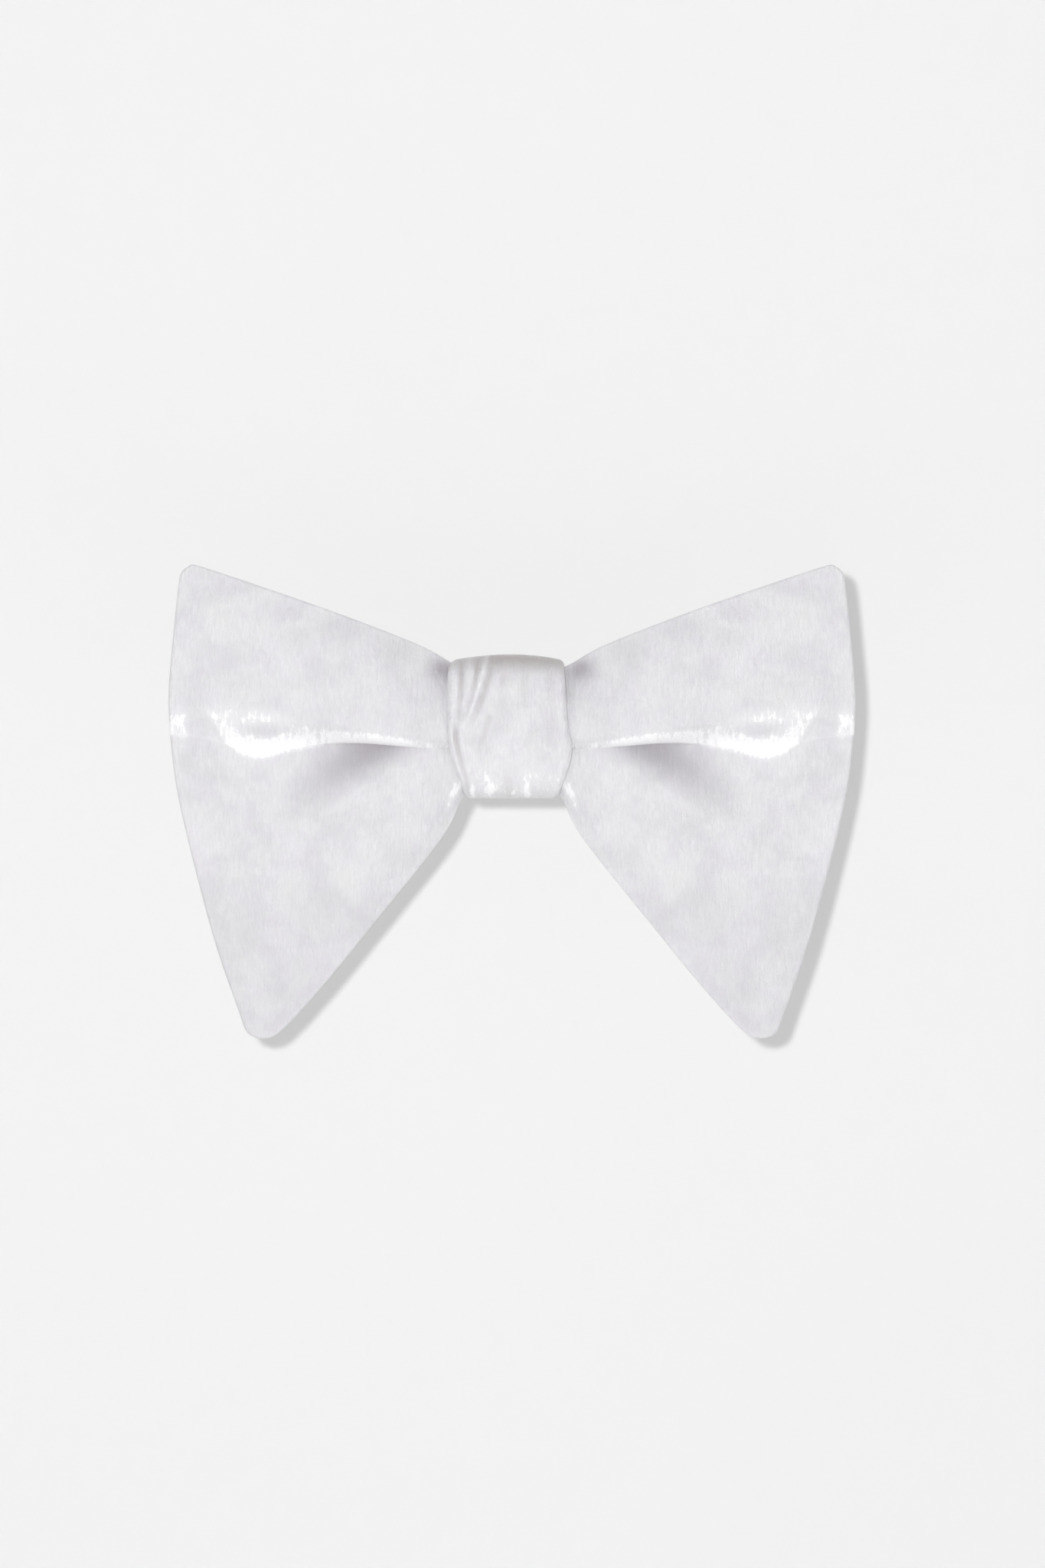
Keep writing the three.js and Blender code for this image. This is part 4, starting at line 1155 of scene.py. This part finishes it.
# %% Winding thread
def winding(turns, radius):
    low, high = (np.array(corner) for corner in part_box("gather_thread"))
    middle, half = (low + high) / 2, (high - low) / 2 - radius
    turn = np.linspace(0, 2 * np.pi * turns, 40 * turns)
    power = 0.55
    c, s = np.cos(turn), np.sin(turn)
    share = turn / turn[-1]
    points = np.stack([middle[0] + half[0] * (2 * share - 1) + 0.05 * MM * np.sin(1.7 * turn),
                       middle[1] + half[1] * np.sign(c) * np.abs(c) ** power,
                       middle[2] + half[2] * np.sign(s) * np.abs(s) ** power], axis=1)
    return [(points, (1, 0, 0))]


WOUND_RADIUS = 0.21 * MM
threads("wound_thread", winding(12, WOUND_RADIUS), WOUND_RADIUS, "bow", "gather_thread")

# %% [markdown]
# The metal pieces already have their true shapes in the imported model, with razor edges. A real stamping has
# its edges tumbled round before plating. So each is copied, its flat triangles are dissolved back into
# faces, and a small bevel is put on every edge.

# %% Clasp and slide
def tumbled(name, node, body, width):
    source = bpy.data.objects[node]
    mesh = source.data.copy()
    mesh.name = name
    work = bmesh.new()
    work.from_mesh(mesh)
    work.transform(source.matrix_world)
    bmesh.ops.remove_doubles(work, verts=work.verts, dist=0.01 * MM)
    bmesh.ops.dissolve_limit(work, angle_limit=math.radians(2), verts=work.verts, edges=work.edges)
    work.to_mesh(mesh)
    work.free()
    mesh.materials.clear()
    mesh.materials.append(nickel)
    piece = bpy.data.objects.new(name, mesh)
    bpy.context.collection.objects.link(piece)
    bevel = piece.modifiers.new("tumbled", "BEVEL")
    bevel.width, bevel.segments, bevel.limit_method = width, 3, "ANGLE"
    bevel.angle_limit = math.radians(40)
    for face in mesh.polygons:
        face.use_smooth = True
    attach(piece, body)
    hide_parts(node)
    print(f"{name}: {len(mesh.polygons)} faces before the bevel")


EDGE_ROUND = 0.18 * MM
tumbled("clasp_hook", "hook", "hook", EDGE_ROUND)
tumbled("clasp_eye", "eye", "eye", EDGE_ROUND)
tumbled("strap_slide", "adjuster", "adjuster", EDGE_ROUND)

# %% [markdown]
# The stage is a pale wall close behind the tie and a pale floor below it. A surface that can be seen from
# both sides would hide the tie from behind, so the wall's back is see-through. It glows a little by itself,
# like a lit studio sweep, and the rest of its brightness comes from the lamps, so it still takes a shadow.

# %% Stage
def make_stage_material(name, tone, glow):
    material, tree, shader = new_material(name)
    grain = noise(tree, place(tree, "ShaderNodeTexCoord").outputs["Object"], 60.0, 3.0)
    colour = mix_colour(tree, grain, tuple(c * 0.995 for c in tone), tone)
    tree.links.new(colour, shader.inputs["Base Color"])
    fixed(shader, Roughness=0.9, Specular_IOR_Level=0.0, Emission_Color=(1, 1, 1, 1), Emission_Strength=glow)
    clear = place(tree, "ShaderNodeBsdfTransparent")
    facing = place(tree, "ShaderNodeNewGeometry").outputs["Backfacing"]
    mix = place(tree, "ShaderNodeMixShader", {"Fac": facing})
    tree.links.new(shader.outputs[0], mix.inputs[1])
    tree.links.new(clear.outputs[0], mix.inputs[2])
    tree.links.new(mix.outputs[0], tree.nodes["Material Output"].inputs["Surface"])
    return material


def stage_sheet(name, corners, material):
    mesh = bpy.data.meshes.new(name)
    mesh.from_pydata(corners, [], [(0, 1, 2, 3)])
    mesh.materials.append(material)
    sheet = bpy.data.objects.new(name, mesh)
    bpy.context.collection.objects.link(sheet)


WALL_Y, FLOOR_Z, WIDE = 0.10, -0.215, 5.0
PALE, GLOW = (0.80, 0.80, 0.80), 0.098
AROUND = ((-1, -1), (1, -1), (1, 1), (-1, 1))
wall = [(WIDE * x, WALL_Y, FLOOR_Z if z < 0 else WIDE) for x, z in AROUND]
floor = [(WIDE * x, WIDE * y, FLOOR_Z) for x, y in AROUND]
stage_sheet("wall", wall, make_stage_material("stage_wall", PALE, GLOW))
stage_sheet("floor", floor, make_stage_material("stage_floor", PALE, GLOW))
print("stage ready")

# %% [markdown]
# Light: an even white world for the fill, a small lamp beside the lens, up and to the left, which draws the
# thin hard shadow down and to the right of the bow, a broad soft lamp below the lens, which skims the
# undersides of the folds so that the pile shines there, and a weak broad one high on the left.

# %% Light
world = bpy.data.worlds.new("world")
bpy.context.scene.world = world
world.use_nodes = True
background = world.node_tree.nodes["Background"]
background.inputs["Color"].default_value = (1, 1, 1, 1)
background.inputs["Strength"].default_value = 0.5


def lamp(name, place_at, aim, size, power):
    data = bpy.data.lights.new(name, "AREA")
    data.shape, data.size, data.energy = "DISK", size, power
    light = bpy.data.objects.new(name, data)
    bpy.context.collection.objects.link(light)
    light.location = place_at
    light.rotation_mode = "QUATERNION"
    light.rotation_quaternion = (Vector(aim) - Vector(place_at)).to_track_quat("-Z", "Y")
    print(f"{name}: {power} W")


lamp("beside_lens", (-0.0267, -1.675, 0.0094), (0.0023, -0.07, -0.0126), 0.018, 12.5)
lamp("low_front", (0.15, -1.15, -0.75), (0, -0.07, -0.01), 0.45, 1.2)
lamp("high_left", (-0.9, -0.9, 0.9), (0, -0.07, 0), 0.7, 0.6)

# %% [markdown]
# Last, the script prints that it is done.

# %% Finish
print("done")
